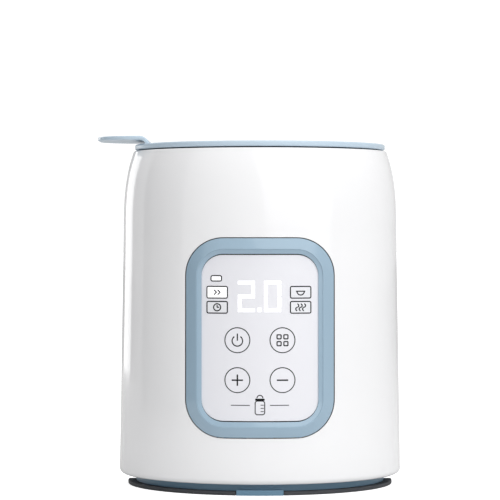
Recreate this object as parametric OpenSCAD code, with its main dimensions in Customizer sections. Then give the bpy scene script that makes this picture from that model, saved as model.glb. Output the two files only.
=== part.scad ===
/* [Housing] */
// Radius of the housing at its widest, just above the bottom edge
body_r = 65; // [64:0.5:80]
// Height of the housing's bottom edge above the floor
body_z0 = 5; // [4:0.5:8]
// Height of the housing's top deck above the floor
body_top = 153.3; // [140:0.1:190]
// Wall thickness of the housing
wall = 2.4; // [1.6:0.1:3]
// How much the radius shrinks from the bottom edge to the shoulder
taper = 1.9; // [0:0.1:4]
// How much the shoulder draws in above the taper
shoulder_draw = 4.7; // [2:0.1:7]
// Height of the shoulder's curve
shoulder_h = 38.3; // [25:0.1:50]
// Radius of the rounded bottom edge
edge_r = 2.5; // [1:0.1:3.5]
// Thickness of the top deck
deck_t = 2.5; // [2:0.1:4]

/* [Basket] */
// Inner radius of the well that the bottle stands in
well_r = 40; // [32:0.1:41]
// Wall thickness of the basket
cup_wall = 1.8; // [1.2:0.1:2.2]
// How far the rim flange's edge stands inside the deck's edge
rim_inset = 0.6; // [0.2:0.1:3]
// Thickness of the rim flange
rim_t = 2.5; // [2:0.1:4]
// Thin gap between the deck and the rim flange
rim_gap = 0.6; // [0.4:0.1:1]
// Thickness of the basket's floor
cup_floor_t = 2; // [1.5:0.1:3]
// Height of the feet under the basket
cup_foot_h = 6; // [5:0.5:10]
// Number of slots round the basket's wall
slot_count = 8; // [4:1:9]
// Width of each slot
slot_w = 5; // [3:0.5:6]

/* [Handle] */
// How far the handle's tip stands out past the housing
handle_out = 9.7; // [8:0.1:20]
// Width of the handle
handle_w = 50; // [36:1:56]
// Thickness of the handle
handle_t = 1.8; // [1.4:0.1:4]
// Gap between the rim flange and the handle above it
handle_gap = 1.6; // [0.5:0.1:3]
// Radius of the handle's tip corners
handle_corner = 19; // [4:0.5:20]

/* [Pot] */
// Width of the water gap between the basket and the pot
water_gap = 3.8; // [3:0.1:4.5]
// Wall thickness of the pot
pot_wall = 1.5; // [1:0.1:2]
// Height of the pot's inner floor above the table
pot_floor_z = 40; // [36:1:50]
// Height of the seal ring between the pot's flange and the deck
seal_h = 2.3; // [1.5:0.1:3]

/* [Panel] */
// Height of the panel's centre above the floor
panel_z = 69.5; // [66:0.5:80]
// Width of the bezel
bezel_w = 65.3; // [54:0.1:68]
// Height of the bezel
bezel_h = 87.5; // [80:0.1:100]
// Corner radius of the bezel
bezel_corner = 16.5; // [12:0.5:20]
// Width of the bezel's frame
bezel_frame = 6.9; // [5:0.1:8]
// How far the bezel's crest stands out of the housing
bezel_proud = 1.2; // [0.6:0.1:2]
// Thickness of the fascia
fascia_t = 1.8; // [1.4:0.1:2]
// Seam between the panel's pieces
seam = 0.15; // [0.1:0.05:0.3]

/* [Keys] */
// Radius of each key
key_r = 5.4; // [4:0.1:6.5]
// Distance of the keys from the panel's middle line
key_x = 9.9; // [8:0.1:11]
// Height of the upper keys from the panel's centre
key_up = -1; // [-2:0.5:1]
// Height of the lower keys from the panel's centre
key_low = -18.5; // [-24:0.5:-14]
// Gap round each key
key_gap = 0.3; // [0.2:0.05:0.4]
// How far a key travels when it is pressed
key_travel = 0.7; // [0.4:0.1:0.8]

/* [Base] */
// How far the base cover's band stands inside the housing
base_inset = 7.7; // [5:0.1:9]
// Thickness of the rubber foot pads
pad_t = 1.8; // [1:0.1:3]
// How far the foot pads' edge stands inside the housing
pad_inset = 4; // [2:0.5:6]
// Width of the base cover's front tab
tab_w = 20.8; // [12:0.1:30]
// Distance of the base screws from the axis
screw_ring = 47; // [44:0.5:48]

/* [Electrics] */
// Thickness of the circuit boards
board_t = 1.6; // [1:0.1:2]
// Height of the inlet's centre above the floor
inlet_z = 18; // [16:0.5:22]
// Depth of the inlet's socket
inlet_depth = 12; // [10:0.5:14]
// Distance of the two inlet pins from each other
pin_pitch = 8.6; // [8:0.1:9]

/* [Hidden] */
$fn = 96;
eps = 0.02;
quarter = 90;
corner_angles = [45, 135, 225, 315];

// housing outline
taper_z0 = body_z0 + edge_r;
shoulder_z = body_top - shoulder_h;
shoulder_steps = 14;
edge_steps = 6;
deck_z = body_top - deck_t;
lip_r = body_r - edge_r - 1.5;
lip_top = taper_z0 + 0.6;

// pot and basket radii
cup_r = well_r + cup_wall;
pot_r = cup_r + water_gap;
deck_r = pot_r + 0.5;

// basket
rim_r = body_r - taper - shoulder_draw - rim_inset;
handle_reach = body_r + handle_out;
rim_z = body_top + rim_gap;
rim_top = rim_z + rim_t;
cup_floor_z = pot_floor_z + cup_foot_h + cup_foot_gap();
cup_foot_r = 3;
slot_margin = 14;
web_x = handle_web_x();
handle_z = rim_top + handle_gap;
bend_r = handle_t + 2.6;

// pot
pot_floor_t = 2;
pot_flange_t = 2;
pot_flange_r = pot_r + 5.5;
pot_flange_z = deck_z - seal_h - pot_flange_t;
ear_ring = pot_flange_r + 1.6;
ear_r = 3.8;
pot_screw_r = 1.3;
pot_screw_head_r = 2.6;
pot_under = pot_floor_z - pot_floor_t;

// heater stack, from the pot's underside down
plate_r = 32;
plate_t = 3.5;
plate_z = pot_under - plate_t;
element = [40, 26, 4.5];
element_z = plate_z - element[2];
element_lead_x = 12;
clamp_t = 1.4;
clamp_z = element_z - clamp_t;
clamp_w = 12;
clamp_foot_x = 26;
clamp_screw_r = 1.5;
sensor_r = 2.9;
sensor_y = -23;
fuse_y = 20;
fuse_r = 1.9;

// panel
fascia_w = bezel_w - 2 * bezel_frame;
fascia_h = bezel_h - 2 * bezel_frame - 0.9;
fascia_corner = bezel_corner - bezel_frame - 0.2;
flange_lap = 2;
flange_front = fascia_t + 0.1;
flange_back = flange_front + 1.9;
crest_in = 2.2;
shell_steps = 12;
reach = 90;

// keys
key_flange_r = key_r + 1.1;
key_flange_t = 1;
key_flange_clear = 0.4;
key_back = -sqrt(pow(housing_r(panel_z + key_up) - fascia_t, 2) - pow(key_x + key_flange_r, 2))
           + key_flange_t + key_flange_clear;
stem_r = 1.7;
stem_len = 3.3;
stem_in = 0.8;
key_names_x = [-key_x, key_x];
switch_size = [6, 3.5, 6];
switch_bore_r = stem_r + 0.3;

// lit windows on the panel, each as [x, z, width, height] from its centre
window_corner = 0.9;
window_size = [9.5, 5.6];
window_rows = [20, 13.4];
window_reach = fascia_w / 2 - window_size[0] / 2;
window_x = [2.2 - window_reach, window_reach - 3.1];
lamp = [window_x[0] - 0.4, 26.1, 5.1, 2.8];
windows = concat(
    [for (x = window_x) for (z = window_rows) [x, z, window_size[0], window_size[1]]],
    [lamp]);
window_gap = 0.12;
window_proud = 0.15;
guide_t = 2.7;

// control board, upright behind the panel
board_y = key_back + stem_len - stem_in + switch_size[1];
board_w = fascia_w + 4.5;
board_z0 = panel_z - fascia_h / 2 + 7.9;
board_z1 = panel_z + bezel_h / 2 - 6;
board_post_x = board_w / 2 - 2.5;
board_post_z = [board_z0 + 4, board_z1 - 4];
board_post_r = 2.6;
board_screw_r = 1.1;
board_screw_head_r = 2.2;
board_screw_head_t = 1.4;
display_size = [2 * (window_x[1] - window_size[0] / 2 - 1.15), 7.6, 16];
display_z = panel_z + 18.2;

// base cover
base_r = body_r - base_inset;
pad_r = body_r - pad_inset;
base_z = pad_t;
base_floor_t = 2.2;
base_flange_z = body_z0 + 0.4;
base_flange_t = 2;
base_flange_r = lip_r - 0.3;
base_rim_h = base_flange_z + base_flange_t - base_z;
base_floor_top = base_z + base_floor_t;
base_rim_t = 2.4;
pad_in = screw_ring + 5.5;
pad_front_gap = 0.4;
pad_front_end = 93;
pad_rear = [113, 168];
post_r = 4.2;
post_z0 = base_floor_top + 0.1;
post_top = pot_under - 6;
base_screw_r = 1.5;
base_screw_head_r = 3.2;
base_screw_head_t = 1.8;
vent_count = 9;
vent_w = 2.4;

// power board, flat above the base cover
pboard = [60, 44];
pboard_y = 4;
pboard_z = 11;
pboard_top = pboard_z + board_t;
pboard_post = [26, 18];
standoff_r = 3;

// inlet
inlet_w = 23;
inlet_h = 14;
inlet_wall_t = 2;
inlet_face = housing_r(inlet_z) - 0.6;
inlet_back = inlet_face - inlet_depth - inlet_wall_t;
inlet_lobe_r = 4.4;
pin_r = 1.2;
pin_tail = 4;

lead_r = 0.9;
bend_swell = 1.15;

// Radius of the housing's outer face at height z
function housing_r(z) =
    z < taper_z0 ? body_r :
    z < shoulder_z ? body_r - taper * (z - taper_z0) / (shoulder_z - taper_z0) :
    body_r - taper - shoulder_draw * pow((z - shoulder_z) / shoulder_h, 3);

// Clearance between the basket's feet and the pot's floor
function cup_foot_gap() = 0.3;

// Place of the handle's upright web, where its ends meet the rim flange's edge
function handle_web_x() = -sqrt(pow(rim_r, 2) - pow(handle_w / 2, 2));

// Outline of a body of revolution that follows the housing's face, moved out by off
function skin(off, z0, z1) = concat(
    [[0, z0]],
    [for (i = [0 : shell_steps]) let (z = z0 + (z1 - z0) * i / shell_steps) [housing_r(z) + off, z]],
    [[0, z1]]);

// Solid of revolution under the housing's face, moved out by off
module under_skin(off, z0, z1) {
    rotate_extrude() polygon(skin(off, z0, z1));
}

// Layer between two distances from the housing's face
module skin_layer(low, high, z0, z1) {
    difference() {
        under_skin(high, z0, z1);
        translate([0, 0, -eps]) under_skin(low, z0, z1 + 2 * eps);
    }
}

// Rounded rectangle of exact arcs, centred
module rounded_rect(w, h, r) {
    square([w - 2 * r, h], center = true);
    square([w, h - 2 * r], center = true);
    for (x = [-1, 1]) for (y = [-1, 1])
        translate([x * (w / 2 - r), y * (h / 2 - r)]) circle(r);
}

// Prism along -Y with a rounded section, from y0 to y1, its section centred at x, z
module front_prism(x, z, w, h, r, y0 = -reach, y1 = 0) {
    translate([x, y1, z]) rotate([90, 0, 0]) linear_extrude(y1 - y0) rounded_rect(w, h, r);
}

// Cylinder along Y from y0 to y1
module y_rod(x, z, r, y0, y1) {
    translate([x, y1, z]) rotate([90, 0, 0]) cylinder(r = r, h = y1 - y0);
}

// Copies of the children round the axis
module around(angles, r) {
    for (a = angles) rotate([0, 0, a]) translate([r, 0, 0]) children();
}

// Tube segment between two points
module rod_between(a, b, r) {
    v = b - a;
    len = norm(v);
    translate(a)
        rotate([0, acos(v[2] / len), atan2(v[1], v[0])]) cylinder(r = r, h = len, $fn = 24);
}

// Insulated lead through a list of points, rounded at each bend
module lead(points, r = lead_r) {
    for (i = [0 : len(points) - 2]) rod_between(points[i], points[i + 1], r);
    for (i = [1 : len(points) - 2]) translate(points[i]) sphere(r * bend_swell, $fn = 24);
}

// Round-headed screw that points up, the underside of its head at z = 0
module screw_up(shank_r, shank_l, head_r, head_t) {
    cylinder(r = shank_r, h = shank_l, $fn = 32);
    difference() {
        translate([0, 0, -head_t]) cylinder(r = head_r, h = head_t, $fn = 40);
        for (a = [0, quarter]) rotate([0, 0, a])
            translate([-head_r * 0.6, -head_r * 0.12, -head_t - eps])
                cube([head_r * 1.2, head_r * 0.24, head_t * 0.5]);
    }
}

// Closed outline of the housing's wall and deck
function housing_outline() = concat(
    [for (i = [0 : edge_steps]) let (a = -quarter + quarter * i / edge_steps)
        [body_r - edge_r + edge_r * cos(a), taper_z0 + edge_r * sin(a)]],
    [[housing_r(shoulder_z), shoulder_z]],
    [for (i = [1 : shoulder_steps]) let (z = shoulder_z + shoulder_h * i / shoulder_steps)
        [housing_r(z), z]],
    [[deck_r, body_top], [deck_r, deck_z], [housing_r(deck_z) - wall, deck_z]],
    [for (i = [shoulder_steps - 1 : -1 : 0])
        let (z = shoulder_z + (deck_z - shoulder_z) * i / shoulder_steps)
        [housing_r(z) - wall, z]],
    [[body_r - wall, lip_top + wall], [lip_r, lip_top], [lip_r, body_z0]]);

module outer_housing() color("white") {
    difference() {
        rotate_extrude($fn = 180) polygon(housing_outline());
        front_prism(0, panel_z, bezel_w + 2 * seam, bezel_h + 2 * seam, bezel_corner + seam);
        translate([-inlet_w / 2 - seam, inlet_back, inlet_z - inlet_h / 2 - seam])
            cube([inlet_w + 2 * seam, reach, inlet_h + 2 * seam]);
    }
    around(corner_angles, screw_ring) base_post();
    around(corner_angles, ear_ring) pot_boss();
}

// Screw post with its rib to the housing's wall
module base_post() {
    rib_t = 2.4;
    rib_z = lip_top;
    rib_end = body_r - wall / 2 - screw_ring - 0.3;
    difference() {
        union() {
            translate([0, 0, post_z0]) cylinder(r = post_r, h = post_top - post_z0);
            translate([post_r - 1, -rib_t / 2, rib_z])
                cube([rib_end - post_r + 1, rib_t, post_top - rib_z]);
        }
        translate([0, 0, post_z0 - eps]) cylinder(r = base_screw_r, h = base_screw_l() + 1);
    }
}

function base_screw_l() = 12;

// Boss under the deck for one of the pot's screws
module pot_boss() {
    boss_r = 3;
    difference() {
        translate([0, 0, pot_flange_z + pot_flange_t]) cylinder(r = boss_r, h = seal_h + 0.5);
        translate([0, 0, pot_flange_z]) cylinder(r = pot_screw_r, h = pot_flange_t + seal_h);
    }
}

module lift_basket() color("#bccbde") {
    difference() {
        union() {
            translate([0, 0, rim_z]) cylinder(r = rim_r, h = rim_t, $fn = 180);
            translate([0, 0, cup_floor_z]) cylinder(r = cup_r, h = rim_top - cup_floor_z, $fn = 180);
            handle_plate();
        }
        translate([0, 0, cup_floor_z + cup_floor_t]) cylinder(r = well_r, h = reach * 2, $fn = 180);
        for (i = [0 : slot_count - 1]) rotate([0, 0, 360 * (i + 0.5) / slot_count]) wall_slot();
        for (a = [0 : 60 : 300]) rotate([0, 0, a]) translate([18, 0, 0]) floor_hole();
        floor_hole();
    }
    around([for (i = [0 : 3]) quarter * i], cup_r - cup_foot_r - 1)
        translate([0, 0, cup_floor_z - cup_foot_h]) cylinder(r = cup_foot_r, h = cup_foot_h + 1);
}

// Upright slot with round ends through the basket's wall
module wall_slot() {
    low = cup_floor_z + slot_margin;
    high = rim_z - slot_margin;
    translate([well_r - 2, 0, 0]) rotate([0, quarter, 0]) linear_extrude(cup_wall + 4) {
        translate([-high, -slot_w / 2]) square([high - low, slot_w]);
        for (z = [low, high]) translate([-z, 0]) circle(slot_w / 2);
    }
}

module floor_hole() {
    hole_r = 4;
    translate([0, 0, cup_floor_z - 1]) cylinder(r = hole_r, h = cup_floor_t + 2);
}

// Handle: a flat plate that bends down into a web on the rim flange
module handle_plate() {
    top = handle_z + handle_t;
    bend_x = web_x - (bend_r - handle_t);
    intersection() {
        translate([0, handle_w / 2, 0]) rotate([quarter, 0, 0]) linear_extrude(handle_w) {
            translate([-handle_reach, handle_z]) square([handle_reach + bend_x, handle_t]);
            translate([web_x, rim_z]) square([handle_t, top - bend_r - rim_z + eps]);
            intersection() {
                difference() {
                    translate([bend_x, top - bend_r]) circle(bend_r);
                    translate([bend_x, top - bend_r]) circle(bend_r - handle_t);
                }
                translate([bend_x, top - bend_r]) square(bend_r);
            }
        }
        translate([0, 0, rim_z - 1]) linear_extrude(top - rim_z + 2) union() {
            translate([-handle_reach + handle_corner, -handle_w / 2]) square([handle_reach, handle_w]);
            translate([-handle_reach, -handle_w / 2 + handle_corner])
                square([handle_reach, handle_w - 2 * handle_corner]);
            for (s = [-1, 1])
                translate([-handle_reach + handle_corner, s * (handle_w / 2 - handle_corner)])
                    circle(handle_corner);
        }
    }
}

module water_pot() color("#9aa0a6") {
    difference() {
        union() {
            translate([0, 0, pot_under])
                cylinder(r = pot_r + pot_wall, h = pot_flange_z + pot_flange_t - pot_under);
            translate([0, 0, pot_flange_z]) cylinder(r = pot_flange_r, h = pot_flange_t);
            around(corner_angles, ear_ring) translate([-ear_r, 0, pot_flange_z]) pot_ear();
        }
        translate([0, 0, pot_floor_z]) cylinder(r = pot_r, h = body_top);
        around(corner_angles, ear_ring)
            translate([0, 0, pot_flange_z - 1]) cylinder(r = pot_screw_r + 0.2, h = pot_flange_t + 2);
    }
}

module pot_ear() {
    translate([ear_r, 0, 0]) cylinder(r = ear_r, h = pot_flange_t);
    translate([-ear_r / 2, -ear_r, 0]) cube([ear_r * 1.5, ear_r * 2, pot_flange_t]);
}

module pot_seal() color("#e8e4dc") {
    translate([0, 0, pot_flange_z + pot_flange_t]) difference() {
        cylinder(r = pot_flange_r - 2, h = seal_h);
        translate([0, 0, -1]) cylinder(r = pot_r + 1.2, h = seal_h + 2);
    }
}

module pot_screws() color("silver") {
    around(corner_angles, ear_ring) translate([0, 0, pot_flange_z])
        screw_up(pot_screw_r, pot_flange_t + seal_h - 0.3, pot_screw_head_r, 1.6);
}

module heater_plate() color("#c9ccd0") {
    difference() {
        translate([0, 0, plate_z]) cylinder(r = plate_r, h = plate_t);
        translate([0, sensor_y, plate_z - 1]) cylinder(r = sensor_r + 0.2, h = plate_t + 2);
        for (s = [-1, 1]) translate([s * clamp_foot_x, 0, plate_z - 1])
            cylinder(r = clamp_screw_r, h = plate_t);
    }
}

module heater_element() color("#caa25a") {
    difference() {
        translate([0, 0, element_z + element[2] / 2]) cube(element, center = true);
        for (s = [-1, 1]) translate([s * element_lead_x, -element[1] / 2 + 3, element_z - 1])
            cylinder(r = lead_r + 0.1, h = 3);
    }
}

module heater_clamp() color("silver") {
    strap = element[0] / 2 + 0.3;
    foot_end = clamp_foot_x + 4;
    difference() {
        union() {
            translate([-strap - clamp_t, -clamp_w / 2, clamp_z])
                cube([2 * (strap + clamp_t), clamp_w, clamp_t]);
            for (s = [0, 1]) mirror([s, 0, 0]) {
                translate([strap, -clamp_w / 2, clamp_z]) cube([clamp_t, clamp_w, element[2] + clamp_t]);
                translate([strap, -clamp_w / 2, plate_z - clamp_t])
                    cube([foot_end - strap, clamp_w, clamp_t]);
            }
        }
        for (s = [-1, 1]) translate([s * clamp_foot_x, 0, plate_z - clamp_t - 1])
            cylinder(r = clamp_screw_r + 0.2, h = clamp_t + 2);
    }
}

module clamp_screws() color("#8b8f94") {
    for (s = [-1, 1]) translate([s * clamp_foot_x, 0, plate_z - clamp_t])
        screw_up(clamp_screw_r, clamp_t + plate_t - 1.2, 2.8, 1.6);
}

module thermal_fuse() color("#d9d2c0") {
    case_l = 10;
    translate([-case_l / 2, fuse_y, plate_z - fuse_r]) rotate([0, quarter, 0]) {
        cylinder(r = fuse_r, h = case_l);
        translate([0, 0, -5]) cylinder(r = 0.5, h = case_l + 10, $fn = 24);
    }
}

module temperature_sensor() color("#4a4d52") {
    body_h = plate_t + 5;
    translate([0, sensor_y, pot_under - body_h]) cylinder(r = sensor_r, h = body_h);
    translate([0, sensor_y, pot_under - body_h]) cylinder(r = sensor_r + 1.4, h = 1.4);
}

module panel_bezel() color("#8fb0c4") {
    difference() {
        union() {
            bezel_frame_ring();
            bezel_posts() y_rod(0, 0, board_post_r, board_face(board_post_z[0], board_post_x) + 1, board_y);
        }
        bezel_posts() y_rod(0, 0, board_screw_r, board_y - 3.5, board_y + 1);
    }
}

// The children at each of the four posts that carry the control board
module bezel_posts() {
    for (x = [-board_post_x, board_post_x]) for (z = board_post_z) translate([x, 0, z]) children();
}

// Frame of the bezel with its rear flange, open where the fascia sits
module bezel_frame_ring() {
    low = panel_z - bezel_h / 2 - 6;
    high = panel_z + bezel_h / 2 + 6;
    difference() {
        union() {
            bezel_band(0, bezel_proud * 0.5, low, high);
            bezel_band(crest_in, bezel_proud, low, high);
            intersection() {
                skin_layer(-flange_back, -wall - 0.15, low, high);
                front_prism(0, panel_z, bezel_w + 2 * flange_lap, bezel_h + 2 * flange_lap,
                            bezel_corner + flange_lap);
            }
        }
        front_prism(0, panel_z, fascia_w - 2 * flange_lap, fascia_h - 2 * flange_lap,
                    fascia_corner - flange_lap);
        intersection() {
            front_prism(0, panel_z, fascia_w + 2 * seam, fascia_h + 2 * seam, fascia_corner + seam);
            skin_layer(-flange_front, 20, low, high);
        }
    }
}

// One step of the bezel, its outline drawn in by inset and its face at proud
module bezel_band(inset, proud, low, high) {
    intersection() {
        skin_layer(-flange_back, proud, low, high);
        front_prism(0, panel_z, bezel_w - 2 * inset, bezel_h - 2 * inset, bezel_corner - inset);
    }
}

// Y of the inner face of the bezel's rear flange at height z and distance x from the middle
function board_face(z, x) = -sqrt(pow(housing_r(z) - flange_front, 2) - pow(x, 2));

module panel_fascia() color("#e9eaee") {
    low = panel_z - fascia_h / 2 - 2;
    high = panel_z + fascia_h / 2 + 2;
    difference() {
        intersection() {
            skin_layer(-fascia_t, 0, low, high);
            front_prism(0, panel_z, fascia_w, fascia_h, fascia_corner);
        }
        for (x = key_names_x) for (z = [key_up, key_low])
            y_rod(x, panel_z + z, key_r + key_gap, -reach, 0);
        for (w = windows) front_prism(w[0], panel_z + w[1], w[2] + 2 * window_gap,
                                      w[3] + 2 * window_gap, window_corner + window_gap);
    }
}

// Push key: a cap that follows the panel's face, a flange behind the fascia and a switch stem
module push_key(x, dz) {
    z = panel_z + dz;
    intersection() {
        under_skin(0, z - 2 * key_r, z + 2 * key_r);
        y_rod(x, z, key_r, -reach, key_back);
    }
    y_rod(x, z, key_flange_r, key_back - key_flange_t, key_back);
    y_rod(x, z, stem_r, key_back - eps, key_back + stem_len);
}

module key_power() color("#e4e5ea") push_key(-key_x, key_up);
module key_mode() color("#e4e5ea") push_key(key_x, key_up);
module key_plus() color("#e4e5ea") push_key(-key_x, key_low);
module key_minus() color("#e4e5ea") push_key(key_x, key_low);

module indicator_windows() color("#f7f7f5") {
    for (w = windows) intersection() {
        skin_layer(-fascia_t, window_proud, panel_z, panel_z + bezel_h / 2);
        front_prism(w[0], panel_z + w[1], w[2], w[3], window_corner);
    }
}

module light_guides() color("#dfe8ee") {
    inset = 1;
    guide_front = board_face(panel_z + window_rows[0], window_x[0] - window_size[0] / 2) + 0.5;
    for (w = windows)
        front_prism(w[0], panel_z + w[1], w[2] - inset, w[3] - inset, window_corner / 2,
                    guide_front, guide_front + guide_t);
}

module display_module() color("#2b2d31") {
    translate([-display_size[0] / 2, board_y - display_size[1], display_z - display_size[2] / 2])
        cube(display_size);
}

module control_board() color("#2e6b46") {
    difference() {
        translate([-board_w / 2, board_y, board_z0]) cube([board_w, board_t, board_z1 - board_z0]);
        for (x = [-board_post_x, board_post_x]) for (z = board_post_z)
            y_rod(x, z, board_screw_r + 0.2, board_y - 1, board_y + board_t + 1);
    }
}

module tact_switches() color("#3a3c40") {
    for (x = key_names_x) for (z = [key_up, key_low]) difference() {
        translate([x - switch_size[0] / 2, board_y - switch_size[1], panel_z + z - switch_size[2] / 2])
            cube(switch_size);
        y_rod(x, panel_z + z, switch_bore_r, board_y - switch_size[1] - 1, board_y - 0.5);
    }
}

module control_board_screws() color("silver") {
    for (x = [-board_post_x, board_post_x]) for (z = board_post_z)
        translate([x, board_y + board_t, z]) rotate([quarter, 0, 0])
            screw_up(board_screw_r, board_t + 1.8, board_screw_head_r, board_screw_head_t);
}

module power_board() color("#2e6b46") {
    difference() {
        translate([-pboard[0] / 2, pboard_y - pboard[1] / 2, pboard_z])
            cube([pboard[0], pboard[1], board_t]);
        power_posts() translate([0, 0, -1]) cylinder(r = board_screw_r + 0.2, h = board_t + 2);
    }
}

// The children at each of the power board's four fixing places
module power_posts() {
    for (x = [-1, 1]) for (y = [-1, 1])
        translate([x * pboard_post[0], pboard_y + y * pboard_post[1], pboard_z]) children();
}

module transformer() color("#d7b23a") {
    core = [18, 16, 13];
    translate([4, pboard_y - 12, pboard_top]) difference() {
        cube(core);
        translate([-1, 5, 9]) cube([core[0] + 2, 6, 5]);
    }
}

module relay() color("#2d5fa8") {
    translate([-20, pboard_y - 12, pboard_top]) cube([15, 10, 13]);
}

module filter_capacitor() color("#30343a") {
    translate([-14, pboard_y + 8, pboard_top]) cylinder(r = 5, h = 13);
}

module board_fuse() color("#e6e9ec") {
    fuse_l = 18;
    translate([-2, pboard_y + 12, pboard_top + 2.6]) rotate([0, quarter, 0])
        cylinder(r = 2.6, h = fuse_l);
}

module power_board_screws() color("silver") {
    power_posts() translate([0, 0, board_t]) mirror([0, 0, 1])
        screw_up(board_screw_r, board_t + 4, board_screw_head_r, board_screw_head_t);
}

module power_inlet() color("#2a2c30") {
    difference() {
        translate([-inlet_w / 2, inlet_back, inlet_z - inlet_h / 2])
            cube([inlet_w, inlet_face - inlet_back, inlet_h]);
        translate([0, inlet_face + 1, inlet_z]) rotate([quarter, 0, 0])
            linear_extrude(inlet_depth + 1) inlet_outline();
        for (s = [-1, 1])
            y_rod(s * pin_pitch / 2, inlet_z, pin_r, inlet_back - 1, inlet_face);
    }
}

// Figure-eight outline of the socket
module inlet_outline() {
    for (s = [-1, 1]) translate([s * pin_pitch / 2, 0]) circle(inlet_lobe_r);
    square([pin_pitch, 2 * inlet_lobe_r - 1.2], center = true);
}

module inlet_pins() color("silver") {
    for (s = [-1, 1])
        y_rod(s * pin_pitch / 2, inlet_z, pin_r, inlet_back - pin_tail, inlet_face - 2);
}

module heater_leads() color("#e7e2d6") {
    near = element_lead_x;
    far = 19;
    lead_y = -element[1] / 2 + 3;
    for (s = [-1, 1])
        lead([[s * near, lead_y, element_z + 1.5], [s * near, lead_y, clamp_z - 1],
              [s * far, lead_y - 2, pboard_top + 8], [s * far, lead_y - 2, pboard_top]]);
}

module inlet_leads() color("#7a4b2a") {
    for (s = [-1, 1])
        rod_between([s * pin_pitch / 2, inlet_back - pin_tail, inlet_z],
                    [s * pin_pitch, pboard_y + pboard[1] / 2 - 4, pboard_top + lead_r], lead_r);
}

module ribbon_lead() color("#d8dade") {
    ribbon_w = 12;
    ribbon_t = 0.8;
    drop = 1.5;
    run_y = board_y + board_t + drop;
    translate([-ribbon_w / 2, board_y + board_t, board_z0 + 4])
        cube([ribbon_w, drop + ribbon_t, ribbon_t]);
    translate([-ribbon_w / 2, run_y, pboard_top + 4])
        cube([ribbon_w, ribbon_t, board_z0 + 4 - pboard_top - 4 + ribbon_t]);
    translate([-ribbon_w / 2, run_y, pboard_top + 4])
        cube([ribbon_w, pboard_y - pboard[1] / 2 + 4 - run_y, ribbon_t]);
    translate([-ribbon_w / 2, pboard_y - pboard[1] / 2 + 3.2, pboard_top])
        cube([ribbon_w, ribbon_t, 4 + ribbon_t]);
}

module base_cover() color("#9ab8cf") {
    difference() {
        union() {
            translate([0, 0, base_z]) cylinder(r = base_r, h = base_rim_h, $fn = 180);
            translate([0, 0, base_flange_z]) cylinder(r = base_flange_r, h = base_flange_t, $fn = 180);
            front_tab();
        }
        translate([0, 0, base_floor_top]) cylinder(r = base_r - base_rim_t, h = base_rim_h);
        around(corner_angles, screw_ring) {
            translate([0, 0, base_z - 1]) cylinder(r = base_screw_r + 0.3, h = base_floor_t + 2);
            translate([0, 0, base_z - 1]) cylinder(r = base_screw_head_r + 0.4, h = 1 + screw_seat());
        }
        for (i = [0 : vent_count - 1]) translate([-16, (i - (vent_count - 1) / 2) * 2 * vent_w, base_z - 1])
            cube([32, vent_w, base_floor_t + 2]);
    }
    power_posts() translate([0, 0, base_floor_top - pboard_z - 0.5]) difference() {
        cylinder(r = standoff_r, h = pboard_z - base_floor_top + 0.5);
        translate([0, 0, 2]) cylinder(r = board_screw_r, h = pboard_z);
    }
}

// Depth of the counterbore for a base screw's head
function screw_seat() = 1;

// Tab at the front that carries the base cover's colour down to the floor
module front_tab() {
    tab_angle = 2 * asin(tab_w / 2 / pad_r);
    rotate([0, 0, -quarter - tab_angle / 2]) rotate_extrude(angle = tab_angle, $fn = 180)
        translate([pad_in, 0]) square([pad_r - pad_in, base_z + 0.6]);
}

module foot_pads() color("#55585c") {
    front_start = asin((tab_w / 2 + pad_front_gap) / pad_r);
    for (s = [0, 1]) mirror([s, 0, 0]) {
        pad_arc(front_start, pad_front_end);
        pad_arc(pad_rear[0], pad_rear[1]);
    }
}

// Rubber arc between two angles counted from the front
module pad_arc(from, to) {
    rotate([0, 0, from - quarter]) rotate_extrude(angle = to - from, $fn = 180)
        translate([pad_in, 0]) square([pad_r - pad_in, pad_t]);
}

module base_screws() color("silver") {
    around(corner_angles, screw_ring) translate([0, 0, base_z + screw_seat()])
        screw_up(base_screw_r, base_screw_l(), base_screw_head_r, screw_seat() - 0.1);
}

outer_housing();
lift_basket();
water_pot();
pot_seal();
pot_screws();
heater_plate();
heater_element();
heater_clamp();
clamp_screws();
thermal_fuse();
temperature_sensor();
panel_bezel();
panel_fascia();
key_power();
key_mode();
key_plus();
key_minus();
indicator_windows();
light_guides();
display_module();
control_board();
tact_switches();
control_board_screws();
power_board();
transformer();
relay();
filter_capacitor();
board_fuse();
power_board_screws();
power_inlet();
inlet_pins();
heater_leads();
inlet_leads();
ribbon_lead();
base_cover();
foot_pads();
base_screws();
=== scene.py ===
"""Looks of a round bottle warmer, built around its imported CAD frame.

Each sub-assembly is a class that builds its pieces with Blender's operators and dresses them in a
finish. Lengths are metres. +Z is up, the control panel faces -Y and the handle points to -X.
"""

import logging
import math
from collections.abc import Callable, Iterator, Sequence
from contextlib import contextmanager
from dataclasses import dataclass
from enum import Enum
from itertools import pairwise

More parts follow.
